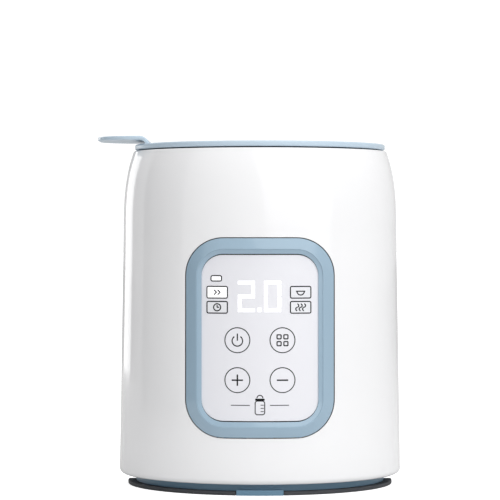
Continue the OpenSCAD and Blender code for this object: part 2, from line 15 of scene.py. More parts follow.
import bpy
from mathutils import Euler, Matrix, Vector


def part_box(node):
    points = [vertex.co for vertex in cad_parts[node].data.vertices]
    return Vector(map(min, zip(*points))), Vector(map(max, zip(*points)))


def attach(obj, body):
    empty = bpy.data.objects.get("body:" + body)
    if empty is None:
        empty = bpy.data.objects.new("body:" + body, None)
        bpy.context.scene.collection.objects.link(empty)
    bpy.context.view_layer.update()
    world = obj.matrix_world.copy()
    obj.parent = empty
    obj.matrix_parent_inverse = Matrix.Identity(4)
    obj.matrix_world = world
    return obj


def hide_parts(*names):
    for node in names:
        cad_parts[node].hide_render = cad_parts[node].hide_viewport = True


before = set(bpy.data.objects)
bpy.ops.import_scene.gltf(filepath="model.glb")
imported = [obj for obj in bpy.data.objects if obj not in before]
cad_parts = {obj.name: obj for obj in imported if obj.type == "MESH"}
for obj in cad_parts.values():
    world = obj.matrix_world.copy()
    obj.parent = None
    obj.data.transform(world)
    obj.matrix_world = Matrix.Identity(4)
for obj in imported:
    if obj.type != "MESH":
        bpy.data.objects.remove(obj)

LOG = logging.getLogger("bottle_warmer")
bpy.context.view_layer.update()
MM = 0.001
WELD = MM / 1000
HAIR = MM / 100
AIM_HEIGHT = 0.08
Point = tuple[float, float]
Colour = tuple[int, int, int]
Piece = bpy.types.Object
Tree = bpy.types.NodeTree
Socket = bpy.types.NodeSocket
Sockets = bpy.types.bpy_prop_collection


class Body(Enum):
    """Bodies of the frame that a piece can ride on."""

    HOUSING = "housing"
    BASKET = "basket"
    POWER = "key_power_body"
    MODE = "key_mode_body"
    PLUS = "key_plus_body"
    MINUS = "key_minus_body"


class Slot(Enum):
    """Material slots of the record."""

    HOUSING = "housing_white"
    BASKET = "basket_blue"
    BEZEL = "bezel_blue"
    BASE = "base_blue"
    FASCIA = "fascia_pale"
    KEY = "key_pale"
    WINDOW = "window_white"
    FOOT = "foot_rubber"


def linear(colour: Colour) -> tuple[float, float, float, float]:
    """Opaque linear colour of an 8-bit display colour.

    Args:
        colour: red, green and blue from 0 to 255.

    Returns:
        The linear red, green and blue, and an alpha of 1.
    """
    red, green, blue = (share / 12.92 if share <= 0.04045 else ((share + 0.055) / 1.055) ** 2.4
                        for share in (value / 255 for value in colour))
    return red, green, blue, 1.0


def arc(centre: Point, radius: float, start: float, end: float, steps: int) -> list[Point]:
    """Points along a circular arc of an outline.

    Args:
        centre: centre of the arc.
        radius: radius of the arc.
        start: first angle in degrees, counted from the outline's first axis.
        end: last angle in degrees.
        steps: number of straight steps.

    Returns:
        The points, both ends included.
    """
    angles = [math.radians(start + (end - start) * i / steps) for i in range(steps + 1)]
    return [(centre[0] + radius * math.cos(a), centre[1] + radius * math.sin(a)) for a in angles]


def circle(radius: float, count: int) -> list[Point]:
    """Places spread evenly round a circle, the first one on +X.

    Args:
        radius: radius of the circle.
        count: number of places.

    Returns:
        The places as x and y.
    """
    return arc((0.0, 0.0), radius, 0, 360 * (count - 1) / count, count - 1)


class Bench:
    """Modelling steps that the sub-assemblies share."""

    @staticmethod
    def pick(*pieces: Piece) -> None:
        """Selects the given pieces alone and makes the first one active.

        Args:
            pieces: the pieces.
        """
        bpy.ops.object.select_all(action="DESELECT")
        for piece in pieces:
            piece.select_set(True)
        bpy.context.view_layer.objects.active = pieces[0]

    @staticmethod
    @contextmanager
    def editing(piece: Piece, kind: str = "VERT") -> Iterator[None]:
        """Edit mode on one piece with all of it selected.

        Args:
            piece: the piece to edit.
            kind: what is selected, VERT, EDGE or FACE.

        Yields:
            Nothing; the piece is in edit mode meanwhile.
        """
        Bench.pick(piece)
        bpy.ops.object.mode_set(mode="EDIT")
        bpy.ops.mesh.select_mode(type=kind)
        bpy.ops.mesh.select_all(action="SELECT")
        yield
        bpy.ops.object.mode_set(mode="OBJECT")

    @staticmethod
    def settle(piece: Piece) -> None:
        """Puts a piece's place, turn and size into its mesh."""
        Bench.pick(piece)
        bpy.ops.object.transform_apply(location=True, rotation=True, scale=True)

    @staticmethod
    def apply(piece: Piece, kind: str, **settings: object) -> None:
        """Adds a modifier to a piece and applies it.

        Args:
            piece: the piece.
            kind: Blender's name for the modifier's type.
            settings: values set on the modifier.
        """
        Bench.pick(piece)
        modifier = piece.modifiers.new(kind.lower(), kind)
        for key, value in settings.items():
            setattr(modifier, key, value)
        bpy.ops.object.modifier_apply(modifier=modifier.name)

    @staticmethod
    def remove(piece: Piece) -> None:
        """Deletes a piece and its mesh.

        Args:
            piece: the piece.
        """
        mesh = piece.data
        bpy.data.objects.remove(piece)
        bpy.data.meshes.remove(mesh)

    @staticmethod
    def combine(piece: Piece, other: Piece, how: str) -> None:
        """Combines a piece with another solid, which is used up.

        Args:
            piece: the piece that stays.
            other: the solid to combine it with.
            how: UNION, DIFFERENCE or INTERSECT.
        """
        Bench.apply(piece, "BOOLEAN", operation=how, object=other, solver="EXACT")
        Bench.remove(other)

    @staticmethod
    def join(name: str, pieces: Sequence[Piece]) -> Piece:
        """Joins separate solids into one piece of that name.

        Args:
            name: name of the result.
            pieces: the solids, used up.

        Returns:
            The joined piece.
        """
        Bench.pick(*pieces)
        if len(pieces) > 1:
            bpy.ops.object.join()
        joined = bpy.context.object
        joined.name = name
        return joined

    @staticmethod
    def copy(piece: Piece, name: str) -> Piece:
        """Makes a copy of a piece with its own mesh.

        Args:
            piece: the piece.
            name: name of the copy.

        Returns:
            The copy.
        """
        double = piece.copy()
        double.data = piece.data.copy()
        double.name = name
        bpy.context.collection.objects.link(double)
        return double

    @staticmethod
    def smooth(piece: Piece, degrees: float = 35) -> None:
        """Shades a piece smooth, with creases sharper than the angle kept."""
        Bench.pick(piece)
        bpy.ops.object.shade_smooth_by_angle(angle=math.radians(degrees))

    @staticmethod
    def take_normals(piece: Piece, source: Piece) -> None:
        """Gives a cut piece the surface direction of the uncut one, which is used up."""
        Bench.apply(piece, "DATA_TRANSFER", object=source, use_loop_data=True,
                    data_types_loops={"CUSTOM_NORMAL"}, loop_mapping="POLYINTERP_NEAREST")
        Bench.remove(source)

    @staticmethod
    def choose(piece: Piece, kind: str, wanted: Callable[..., bool]) -> None:
        """Selects, in edit mode, only the parts of a mesh that pass a test.

        Args:
            piece: the piece that is being edited.
            kind: vertices, edges or polygons.
            wanted: the test, which is given each part.
        """
        bpy.ops.mesh.select_all(action="DESELECT")
        bpy.ops.object.mode_set(mode="OBJECT")
        for part in getattr(piece.data, kind):
            part.select = wanted(part)
        bpy.ops.object.mode_set(mode="EDIT")

    @staticmethod
    def heal() -> None:
        """Merges doubled corners and turns every face outwards, in edit mode."""
        bpy.ops.mesh.select_all(action="SELECT")
        bpy.ops.mesh.remove_doubles(threshold=WELD)
        bpy.ops.mesh.normals_make_consistent(inside=False)

    @staticmethod
    def fresh(name: str, width: float = 1, height: float = 1) -> Piece:
        """Names the piece that was just added and puts its place and size into its mesh.

        Args:
            name: name of the piece.
            width: factor along its own X.
            height: factor along its own Y.

        Returns:
            The piece.
        """
        piece = bpy.context.object
        piece.name = name
        piece.scale = (width, height, 1)
        Bench.settle(piece)
        return piece

    @staticmethod
    def outline(name: str, points: Sequence[Point]) -> Piece:
        """Draws a closed outline in the XZ plane, one edge after another.

        Args:
            name: name of the piece.
            points: corners as x and z.

        Returns:
            The piece, edges only.
        """
        bpy.ops.mesh.primitive_plane_add(size=MM)
        piece = Bench.fresh(name)
        with Bench.editing(piece):
            bpy.ops.mesh.merge(type="CENTER")
            bpy.ops.transform.translate(value=(points[0][0], 0, points[0][1]))
            for (x0, z0), (x1, z1) in pairwise([*points, points[0]]):
                step = {"value": (x1 - x0, 0, z1 - z0)}
                bpy.ops.mesh.extrude_region_move(TRANSFORM_OT_translate=step)
            bpy.ops.mesh.select_all(action="SELECT")
            bpy.ops.mesh.remove_doubles(threshold=WELD)
        return piece

    @staticmethod
    def spun(name: str, points: Sequence[Point], steps: int,
             start: float = 0, sweep: float = 360) -> Piece:
        """Spins a closed outline about the Z axis.

        Args:
            name: name of the piece.
            points: corners of the outline as radius and height.
            steps: number of straight steps round the sweep.
            start: angle in degrees where the sweep starts, counted from +X.
            sweep: angle in degrees that it turns through.

        Returns:
            The closed solid.
        """
        piece = Bench.outline(name, points)
        with Bench.editing(piece):
            bpy.ops.transform.rotate(value=math.radians(-start), orient_axis="Z",
                                     center_override=(0, 0, 0))
            bpy.ops.mesh.spin(steps=steps, angle=math.radians(-sweep), center=(0, 0, 0),
                              axis=(0, 0, 1))
            Bench.heal()
            if not math.isclose(sweep, 360):
                bpy.ops.mesh.fill_holes(sides=0)
                Bench.heal()
        return piece

    @staticmethod
    def slab(name: str, x: float, z: float, width: float, height: float, corner: float,
             front: float, back: float, turn: float = 0, segments: int = 10) -> Piece:
        """Makes a slab with a rounded outline that faces -Y.

        Args:
            name: name of the piece.
            x: middle of the outline.
            z: middle of the outline.
            width: size along X before it is turned.
            height: size along Z before it is turned.
            corner: radius of the corners, or 0.
            front: place of the front face along Y.
            back: place of the rear face along Y.
            turn: turn about the Y axis in degrees, clockwise from the front.
            segments: steps round each corner.

        Returns:
            The closed solid.
        """
        bpy.ops.mesh.primitive_plane_add(size=1, rotation=(math.radians(90), 0, 0))
        piece = Bench.fresh(name, width, height)
        with Bench.editing(piece):
            if corner > 0:
                bpy.ops.mesh.bevel(offset=corner, affect="VERTICES", segments=segments)
            bpy.ops.mesh.select_all(action="SELECT")
            bpy.ops.mesh.remove_doubles(threshold=WELD)
            bpy.ops.mesh.extrude_region_move(TRANSFORM_OT_translate={"value": (0, back - front, 0)})
            Bench.heal()
        piece.rotation_euler = (0, math.radians(turn), 0)
        piece.location = (x, front, z)
        Bench.settle(piece)
        return piece

    @staticmethod
    def disc(name: str, x: float, z: float, radius: float, front: float, back: float,
             sides: int = 64) -> Piece:
        """Makes a round slab that faces -Y.

        Args:
            name: name of the piece.
            x: middle of the slab.
            z: middle of the slab.
            radius: its radius.
            front: place of the front face along Y.
            back: place of the rear face along Y.
            sides: number of straight sides.

        Returns:
            The closed solid.
        """
        bpy.ops.mesh.primitive_cylinder_add(vertices=sides, radius=radius, depth=back - front,
                                            location=(x, (front + back) / 2, z),
                                            rotation=(math.radians(90), 0, 0))
        return Bench.fresh(name)

    @staticmethod
    def posts(places: Sequence[Point], radius: float, low: float, high: float,
              sides: int = 32) -> list[Piece]:
        """Makes upright round posts between two heights.

        Args:
            places: middle of each post as x and y.
            radius: their radius.
            low: height of their lower ends.
            high: height of their upper ends.
            sides: number of straight sides of each.

        Returns:
            The posts.
        """
        pieces = []
        for x, y in places:
            bpy.ops.mesh.primitive_cylinder_add(vertices=sides, radius=radius, depth=high - low,
                                                location=(x, y, (low + high) / 2))
            pieces.append(Bench.fresh("post"))
        return pieces


class SurfaceGroup:
    """A shader node group while it is being built."""

    COLOURS = ("Colour", "Shade")

    def __init__(self, name: str, inputs: Sequence[str], outputs: Sequence[str]) -> None:
        """Makes an empty group with named sockets.

        Args:
            name: name of the group.
            inputs: names of its inputs besides the two colours.
            outputs: names of its outputs besides the colour.
        """
        self.tree = bpy.data.node_groups.new(name, "ShaderNodeTree")
        for way, labels in (("INPUT", (*self.COLOURS, *inputs)), ("OUTPUT", ("Colour", *outputs))):
            for label in labels:
                kind = "NodeSocketColor" if label in self.COLOURS else "NodeSocketFloat"
                self.tree.interface.new_socket(label, in_out=way, socket_type=kind)
        self.given = self.tree.nodes.new("NodeGroupInput").outputs
        self.made = self.tree.nodes.new("NodeGroupOutput").inputs
        self.place = self.tree.nodes.new("ShaderNodeTexCoord").outputs["Object"]

    def feed(self, socket: Socket, value: Socket | float) -> None:
        """Links an input to another socket, or sets it to a number.

        Args:
            socket: the input.
            value: the other socket, or the number.
        """
        if isinstance(value, Socket):
            self.tree.links.new(value, socket)
        else:
            socket.default_value = value

    def math(self, how: str, first: Socket | float, second: Socket | float) -> Socket:
        """Adds a math node.

        Args:
            how: Blender's name for the operation.
            first: its first input.
            second: its second input.

        Returns:
            Its result.
        """
        node = self.tree.nodes.new("ShaderNodeMath")
        node.operation = how
        self.feed(node.inputs[0], first)
        self.feed(node.inputs[1], second)
        return node.outputs[0]

    def noise(self, vector: Socket, scale: Socket | float, detail: float) -> Socket:
        """Adds a noise texture.

        Args:
            vector: coordinates that it is read at.
            scale: how fine it is.
            detail: how many finer layers it has.

        Returns:
            Its value.
        """
        node = self.tree.nodes.new("ShaderNodeTexNoise")
        self.feed(node.inputs["Vector"], vector)
        self.feed(node.inputs["Scale"], scale)
        self.feed(node.inputs["Detail"], detail)
        return node.outputs["Fac"]

    def tint(self, share: Socket) -> None:
        """Feeds the group's colour: its two colours mixed by a share of the second.

        Args:
            share: share of the second colour.
        """
        node = self.tree.nodes.new("ShaderNodeMix")
        node.data_type = "RGBA"
        for index, value in ((0, share), (6, self.given["Colour"]), (7, self.given["Shade"])):
            self.feed(node.inputs[index], value)
        self.feed(self.made["Colour"], node.outputs[2])

    def gloss(self, pattern: Socket) -> None:
        """Feeds the group's roughness, which a pattern swings about its mean."""
        swing = self.math("MULTIPLY", self.math("SUBTRACT", pattern, 0.5), self.given["Spread"])
        self.feed(self.made["Roughness"], self.math("ADD", swing, self.given["Roughness"]))

    @classmethod
    def moulded(cls) -> Tree:
        """Makes a moulded skin: fine grain, a broad mottle in the colour and a varying gloss.

        Returns:
            The group.
        """
        group = cls("moulded_skin", ("Mottle", "Roughness", "Spread", "Grain Scale"),
                    ("Roughness", "Height"))
        broad = group.noise(group.place, scale=55.0, detail=3.0)
        fine = group.noise(group.place, group.given["Grain Scale"], detail=2.0)
        group.tint(group.math("MULTIPLY", broad, group.given["Mottle"]))
        group.gloss(broad)
        group.feed(group.made["Height"], fine)
        return group.tree

    @classmethod
    def brushed(cls) -> Tree:
        """Makes drawn or turned metal: fine lines along one direction in height and gloss.

        Returns:
            The group.
        """
        group = cls("brushed_metal", ("Roughness", "Spread"), ("Roughness", "Height"))
        stretch = group.tree.nodes.new("ShaderNodeMapping")
        stretch.inputs["Scale"].default_value = (90.0, 90.0, 2600.0)
        group.feed(stretch.inputs["Vector"], group.place)
        lines = group.noise(stretch.outputs["Vector"], scale=1.0, detail=3.0)
        cloud = group.noise(group.place, scale=120.0, detail=2.0)
        group.tint(group.math("MULTIPLY", cloud, 0.5))
        group.gloss(lines)
        group.feed(group.made["Height"], lines)
        return group.tree

    @classmethod
    def laminate(cls) -> Tree:
        """Makes a circuit board: copper runs that show through the solder mask.

        Returns:
            The group.
        """
        group = cls("board_laminate", (), ("Height",))
        bricks = group.tree.nodes.new("ShaderNodeTexBrick")
        bricks.inputs["Scale"].default_value = 260.0
        bricks.inputs["Mortar Size"].default_value = 0.08
        group.feed(bricks.inputs["Vector"], group.place)
        group.tint(bricks.outputs["Fac"])
        group.feed(group.made["Height"], bricks.outputs["Fac"])
        return group.tree


@dataclass(frozen=True)
class Finish:
    """A finish whose colour, gloss and relief come from a surface group."""

    name: str
    colour: Colour
    shade: Colour
    roughness: float

    def material(self) -> bpy.types.Material:
        """Material of this finish, made the first time and kept.

        Returns:
            The material.
        """
        material = bpy.data.materials.get(self.name)
        if material is None:
            material = bpy.data.materials.new(self.name)
            material.use_nodes = True
            self.wire(material.node_tree, material.node_tree.nodes["Principled BSDF"].inputs)
        return material

    def wire(self, tree: Tree, shader: Sockets) -> None:
        """Adds the finish's nodes to its material; each kind of finish has its own."""
        raise NotImplementedError

    def surface(self, tree: Tree, shader: Sockets, name: str, maker: Callable[[], Tree],
                depth: float, **values: float) -> Sockets:
        """Feeds the shader's colour, gloss and relief from a surface group.

        Args:
            tree: the material's nodes.
            shader: the shader's inputs.
            name: name of the surface group.
            maker: what makes the group the first time.
            depth: depth of the relief in metres, or 0 for none.
            values: values for the group's inputs, with _ for a space.

        Returns:
            The group's outputs.
        """
        node = tree.nodes.new("ShaderNodeGroup")
        node.node_tree = bpy.data.node_groups.get(name) or maker()
        node.inputs["Colour"].default_value = linear(self.colour)
        node.inputs["Shade"].default_value = linear(self.shade)
        for key, value in values.items():
            node.inputs[key.replace("_", " ")].default_value = value
        tree.links.new(node.outputs["Colour"], shader["Base Color"])
        if "Roughness" in node.outputs:
            tree.links.new(node.outputs["Roughness"], shader["Roughness"])
        if depth > 0:
            bump = tree.nodes.new("ShaderNodeBump")
            bump.inputs["Strength"].default_value = 1.0
            bump.inputs["Distance"].default_value = depth
            tree.links.new(node.outputs["Height"], bump.inputs["Height"])
            tree.links.new(bump.outputs["Normal"], shader["Normal"])
        return node.outputs


@dataclass(frozen=True)
class PlasticFinish(Finish):
    """Moulded plastic or rubber."""

    mottle: float = 0.15
    spread: float = 0.04
    grain_scale: float = 2500.0
    grain_depth: float = 0.000002
    coat: float = 0.0
    coat_roughness: float = 0.06
    glow: float = 0.0
    ior: float = 1.48

    def wire(self, tree: Tree, shader: Sockets) -> None:
        """Feeds the shader from the moulded skin.

        Args:
            tree: the material's nodes.
            shader: the shader's inputs.
        """
        skin = self.surface(tree, shader, "moulded_skin", SurfaceGroup.moulded, self.grain_depth,
                            Mottle=self.mottle, Roughness=self.roughness, Spread=self.spread,
                            Grain_Scale=self.grain_scale)
        shader["IOR"].default_value = self.ior
        shader["Coat Weight"].default_value = self.coat
        shader["Coat Roughness"].default_value = self.coat_roughness
        if self.glow > 0:
            tree.links.new(skin["Colour"], shader["Emission Color"])
            shader["Emission Strength"].default_value = self.glow


@dataclass(frozen=True)
class MetalFinish(Finish):
    """Brushed, turned or plated metal."""

    spread: float = 0.12
    line_depth: float = 0.000004

    def wire(self, tree: Tree, shader: Sockets) -> None:
        """Feeds the shader from the brushed metal."""
        self.surface(tree, shader, "brushed_metal", SurfaceGroup.brushed, self.line_depth,
                     Roughness=self.roughness, Spread=self.spread)
        shader["Metallic"].default_value = 1.0


@dataclass(frozen=True)
class BoardFinish(Finish):
    """Circuit board: its solder mask and the paler runs under it."""

    run_depth: float = 0.00002

    def wire(self, tree: Tree, shader: Sockets) -> None:
        """Feeds the shader from the laminate."""
        self.surface(tree, shader, "board_laminate", SurfaceGroup.laminate, self.run_depth)
        shader["Roughness"].default_value = self.roughness


@dataclass(frozen=True)
class FloorFinish(Finish):
    """Pale studio paper that the camera sees as white."""

    glow: float = 0.0

    def wire(self, tree: Tree, shader: Sockets) -> None:
        """Feeds the shader from the moulded skin, with a glow for the camera alone.

        Args:
            tree: the material's nodes.
            shader: the shader's inputs.
        """
        self.surface(tree, shader, "moulded_skin", SurfaceGroup.moulded, 0.0, Mottle=0.3,
                     Roughness=self.roughness, Spread=0.05, Grain_Scale=400.0)
        tree.links.new(camera_share(tree, 0.0, self.glow), shader["Emission Strength"])
        shader["Emission Color"].default_value = (1.0, 1.0, 1.0, 1.0)
        shader["IOR"].default_value = 1.0


def camera_share(tree: Tree, others: float, camera: float) -> Socket:
    """Adds nodes for a value that the camera sees and another for all other rays.

    Args:
        tree: the nodes of a material or of the world.
        others: value for all other rays.
        camera: value for the camera's rays.

    Returns:
        The value.
    """
    seen = tree.nodes.new("ShaderNodeLightPath").outputs["Is Camera Ray"]
    share = tree.nodes.new("ShaderNodeMapRange")
    tree.links.new(seen, share.inputs["Value"])
    share.inputs["To Min"].default_value = others
    share.inputs["To Max"].default_value = camera
    return share.outputs["Result"]


GLOSS_WHITE = PlasticFinish("gloss_white_shell", (246, 246, 247), (240, 240, 242), 0.10,
                            mottle=0.3, spread=0.02, grain_scale=900.0, grain_depth=0.0000012,
                            coat=0.25)
BASKET_BLUE = PlasticFinish("basket_blue_plastic", (194, 212, 226), (185, 205, 221), 0.26,
                            grain_depth=0.000003)
BEZEL_BLUE = PlasticFinish("bezel_blue_plastic", (156, 181, 199), (148, 174, 193), 0.20,
                           grain_depth=0.000003, coat=0.5)
# Darker than the bezel's blue: partly the cover's own colour, partly painted shade where the cover
# sits under the shell.
BASE_BLUE_SHADED = PlasticFinish("base_blue_with_painted_shade", (112, 148, 172), (104, 140, 165), 0.34,
                          grain_depth=0.000005)
FASCIA_PALE = PlasticFinish("fascia_pale_film", (236, 236, 241), (231, 232, 238), 0.30,
                            spread=0.03, grain_scale=3500.0, grain_depth=0.0000015)
KEY_PALE = PlasticFinish("key_pale_cap", (237, 237, 242), (232, 233, 239), 0.28,
                         grain_scale=3500.0, grain_depth=0.0000015)
WINDOW_DIM = PlasticFinish("window_unlit", (235, 236, 240), (229, 230, 235), 0.18,
                           grain_depth=0.000001)
WINDOW_LIT = PlasticFinish("window_lit", (252, 252, 253), (248, 249, 252), 0.18,
                           grain_depth=0.000001, glow=0.35)
DIGIT_LIT = PlasticFinish("digit_lit", (254, 254, 255), (250, 251, 255), 0.25,
                          grain_depth=0.000001, glow=0.45)
# Dark ink for the print; the same finish also paints the dark shadow ring round each key cap.
INK_AND_SHADOW_DARK = PlasticFinish("dark_ink_and_painted_shadow", (14, 15, 18), (22, 23, 27), 0.6, ior=1.3,
                           grain_depth=0.000002)
FOOT_RUBBER = PlasticFinish("foot_grey_rubber", (78, 80, 84), (64, 66, 70), 0.78, mottle=0.8,
                            spread=0.15, grain_scale=1600.0, grain_depth=0.00001)
SEAL_SILICONE = PlasticFinish("seal_silicone", (226, 222, 214), (210, 206, 198), 0.6, mottle=0.6)
DARK_MOULDING = PlasticFinish("dark_moulding", (38, 39, 42), (50, 51, 55), 0.42, mottle=0.5,
                              grain_depth=0.000006)
LEAD_CREAM = PlasticFinish("lead_cream_sleeve", (231, 226, 214), (214, 208, 194), 0.5, mottle=0.6)
LEAD_BROWN = PlasticFinish("lead_brown_sleeve", (122, 75, 42), (100, 60, 34), 0.45, mottle=0.6)
RIBBON_GREY = PlasticFinish("ribbon_grey", (206, 208, 212), (186, 188, 193), 0.5, mottle=0.6)
FILM_AMBER = PlasticFinish("heater_amber_film", (202, 162, 90), (170, 128, 60), 0.25, mottle=0.7)
TAPE_YELLOW = PlasticFinish("winding_yellow_tape", (215, 178, 58), (190, 150, 40), 0.4, mottle=0.6)
RELAY_BLUE = PlasticFinish("relay_blue_case", (45, 95, 168), (36, 80, 148), 0.35, mottle=0.5)
CLEAR_GUIDE = PlasticFinish("light_guide_acrylic", (223, 232, 238), (210, 222, 230), 0.12,
                            mottle=0.4)
POT_COATING = MetalFinish("pot_coated_metal", (150, 152, 156), (128, 130, 134), 0.38)
BRIGHT_STEEL = MetalFinish("bright_zinc_steel", (205, 207, 210), (178, 180, 184), 0.26)
CAST_ALUMINIUM = MetalFinish("cast_aluminium", (201, 204, 208), (176, 179, 184), 0.46)
GREEN_BOARD = BoardFinish("green_board", (24, 86, 50), (48, 122, 74), 0.35)
FLOOR_WHITE = FloorFinish("floor_paper", (222, 222, 222), (216, 216, 217), 0.9, 0.82)
CARD_BLACK = PlasticFinish("card_black", (20, 20, 20), (26, 26, 26), 0.9)


def dress(piece: Piece, finish: Finish) -> None:
    """Gives every face of a piece one finish."""
    piece.data.materials.clear()
    piece.data.materials.append(finish.material())


def register(piece: Piece, finish: Finish, body: Body, slot: Slot,
             *stands_for: str) -> None:
    """Dresses a finished piece and tells the frame about it.

    Args:
        piece: the finished piece.
        finish: its finish.
        body: the body that it rides on.
        slot: the record's material slot; not used.
        stands_for: CAD nodes that it is shown in place of.
    """
    dress(piece, finish)
    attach(piece, body.value)
    if stands_for:
        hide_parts(*stands_for)
    LOG.info("%s: %d faces on %s", piece.name, len(piece.data.polygons), body.value)


@dataclass(frozen=True)
class HousingShape:
    """Outer face of the housing: a slight taper that ends in a drawn-in shoulder."""

    top: float
    radius: float = 65 * MM
    bottom: float = 5.0 * MM
    edge: float = 2.5 * MM
    taper: float = 1.9 * MM
    draw: float = 4.7 * MM
    shoulder: float = 38.3 * MM

    @classmethod
    def from_frame(cls) -> "HousingShape":
        """Shape with its top taken from the frame."""
        return cls(top=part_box("outer_housing")[1].z)

    def radius_at(self, height: float) -> float:
        """Radius of the outer face at a height above the table.

        Args:
            height: height in metres.

        Returns:
            The radius in metres.
        """
        start = self.bottom + self.edge
        bend = self.top - self.shoulder
        if height <= start:
            return self.radius
        if height <= bend:
            return self.radius - self.taper * (height - start) / (bend - start)
        return self.radius - self.taper - self.draw * ((height - bend) / self.shoulder) ** 3

    def face_y(self, x: float, height: float, off: float = 0.0) -> float:
        """Place along Y of the front face at x and a height, moved out by off."""
        return -math.sqrt((self.radius_at(height) + off) ** 2 - x ** 2)


@dataclass(frozen=True)
class PanelSkin:
    """Layers that follow the housing's face where the control panel sits."""

    shape: HousingShape
    half_sweep: float = 34.0
    steps: int = 90
    ring_steps: int = 48
    reach: float = 90 * MM
    print_depth: float = 0.3 * MM

    def layer(self, name: str, low: float, high: float, bottom: float,
              top: float) -> Piece:
        """Makes a solid layer between two distances from the housing's face.

        Args:
            name: name of the piece.
            low: distance of the rear face, negative inwards.
            high: distance of the front face.
            bottom: lowest height.
            top: highest height, below the shoulder.

        Returns:
            The closed layer, shaded smooth.
        """
        outline = [(self.shape.radius_at(z) + off, z)
                   for off, z in ((high, bottom), (high, top), (low, top), (low, bottom))]
        piece = Bench.spun(name, outline, self.steps, -90 - self.half_sweep, 2 * self.half_sweep)
        Bench.smooth(piece)
        return piece

    def stamp(self, cutter: Piece, low: float, high: float) -> Piece:
        """Cuts the shape of a cutter out of a layer, with the layer's own shading.

        Args:
            cutter: solid that runs through the layer along Y; its name passes to the result.
            low: distance of the rear face, negative inwards.
            high: distance of the front face.

        Returns:
            The stamped piece.
        """
        name = cutter.name
        cutter.name = f"{name}_cutter"
        heights = [vertex.co.z for vertex in cutter.data.vertices]
        piece = self.layer(name, low, high, min(heights) - MM, max(heights) + MM)
        source = Bench.copy(piece, f"{name}_source")
        Bench.combine(piece, cutter, "INTERSECT")
        Bench.take_normals(piece, source)
        return piece

    def through(self, name: str, x: float, z: float, width: float, height: float,
                corner: float, turn: float = 0.0) -> Piece:
        """Makes a cutter with a rounded outline that runs through the skin."""
        return Bench.slab(name, x, z, width, height, corner, -self.reach, 0.0, turn)

    def round_through(self, name: str, x: float, z: float, radius: float) -> Piece:
        """Makes a round cutter that runs through the skin."""
        return Bench.disc(name, x, z, radius, -self.reach, 0.0)

    def ring_through(self, name: str, x: float, z: float, radius: float,
                     width: float, start: float = 0, sweep: float = 360) -> Piece:
        """Makes a cutter shaped as a ring or an open arc that runs through the skin.

        Args:
            name: name of the cutter.
            x: centre of the ring.
            z: centre of the ring.
            radius: middle radius of the line.
            width: width of the line.
            start: first angle in degrees, counted from +X towards +Z.
            sweep: angle in degrees that the line covers.

        Returns:
            The cutter.
        """
        section = [(radius - width / 2, 0), (radius + width / 2, 0),
                   (radius + width / 2, self.reach), (radius - width / 2, self.reach)]
        piece = Bench.spun(name, section, self.ring_steps, start, sweep)
        piece.rotation_euler = (math.radians(90), 0, 0)
        piece.location = (x, 0, z)
        Bench.settle(piece)
        return piece

    def frame_through(self, name: str, x: float, z: float, width: float, height: float,
                      corner: float, line: float) -> Piece:
        """Makes a cutter shaped as the outline of a rounded rectangle.

        Args:
            name: name of the cutter.
            x: middle of the outline.
            z: middle of the outline.
            width: outer size along X.
            height: outer size along Z.
            corner: outer radius of the corners.
            line: width of the line.

        Returns:
            The cutter.
        """
        outer = self.through(name, x, z, width, height, corner)
        inner = Bench.slab(f"{name}_inner", x, z, width - 2 * line, height - 2 * line,
                           max(corner - line, 0.0), -self.reach - MM, MM)
        Bench.combine(outer, inner, "DIFFERENCE")
        return outer


@dataclass(frozen=True)
class PanelLayout:
    """Places and sizes on the control panel, counted from its centre."""

    centre: float
    width: float
    height: float
    corner: float = 9.4 * MM
    key_x: float = 9.9 * MM
    key_rows: tuple[float, float] = (-1 * MM, -18.5 * MM)
    key_radius: float = 5.4 * MM
    key_gap: float = 0.3 * MM
    window_x: tuple[float, float] = (-18.8 * MM, 17.9 * MM)
    window_rows: tuple[float, float] = (20 * MM, 13.4 * MM)
    window_size: tuple[float, float] = (9.5 * MM, 5.6 * MM)
    window_corner: float = 0.9 * MM
    lamp_place: tuple[float, float] = (-19.2 * MM, 26.1 * MM)
    lamp_size: tuple[float, float] = (5.1 * MM, 2.8 * MM)
    frame_width: float = 6.9 * MM
    frame_extra: float = 0.9 * MM
    frame_corner: float = 16.5 * MM

    @classmethod
    def from_frame(cls) -> "PanelLayout":
        """Layout centred on the frame's fascia."""
        low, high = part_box("panel_fascia")
        return cls(centre=(low.z + high.z) / 2, width=high.x - low.x, height=high.z - low.z)

    def frame_size(self) -> tuple[float, float]:
        """Outer width and height of the frame round the panel."""
        return (self.width + 2 * self.frame_width,
                self.height + 2 * self.frame_width + self.frame_extra)

    def windows(self) -> list[tuple[str, float, float, float, float, bool]]:
        """Lists the windows and the lamp.

        Returns:
            The name, x, height, width and tallness of each, and whether it is lit.
        """
        (left, right), (upper, lower) = self.window_x, self.window_rows
        places = [("fast", left, upper, True), ("clock", left, lower, False),
                  ("food", right, upper, False), ("steam", right, lower, False)]
        rows = [(name, x, self.centre + z, *self.window_size, lit) for name, x, z, lit in places]
        x, z = self.lamp_place
        return [*rows, ("lamp", x, self.centre + z, *self.lamp_size, True)]


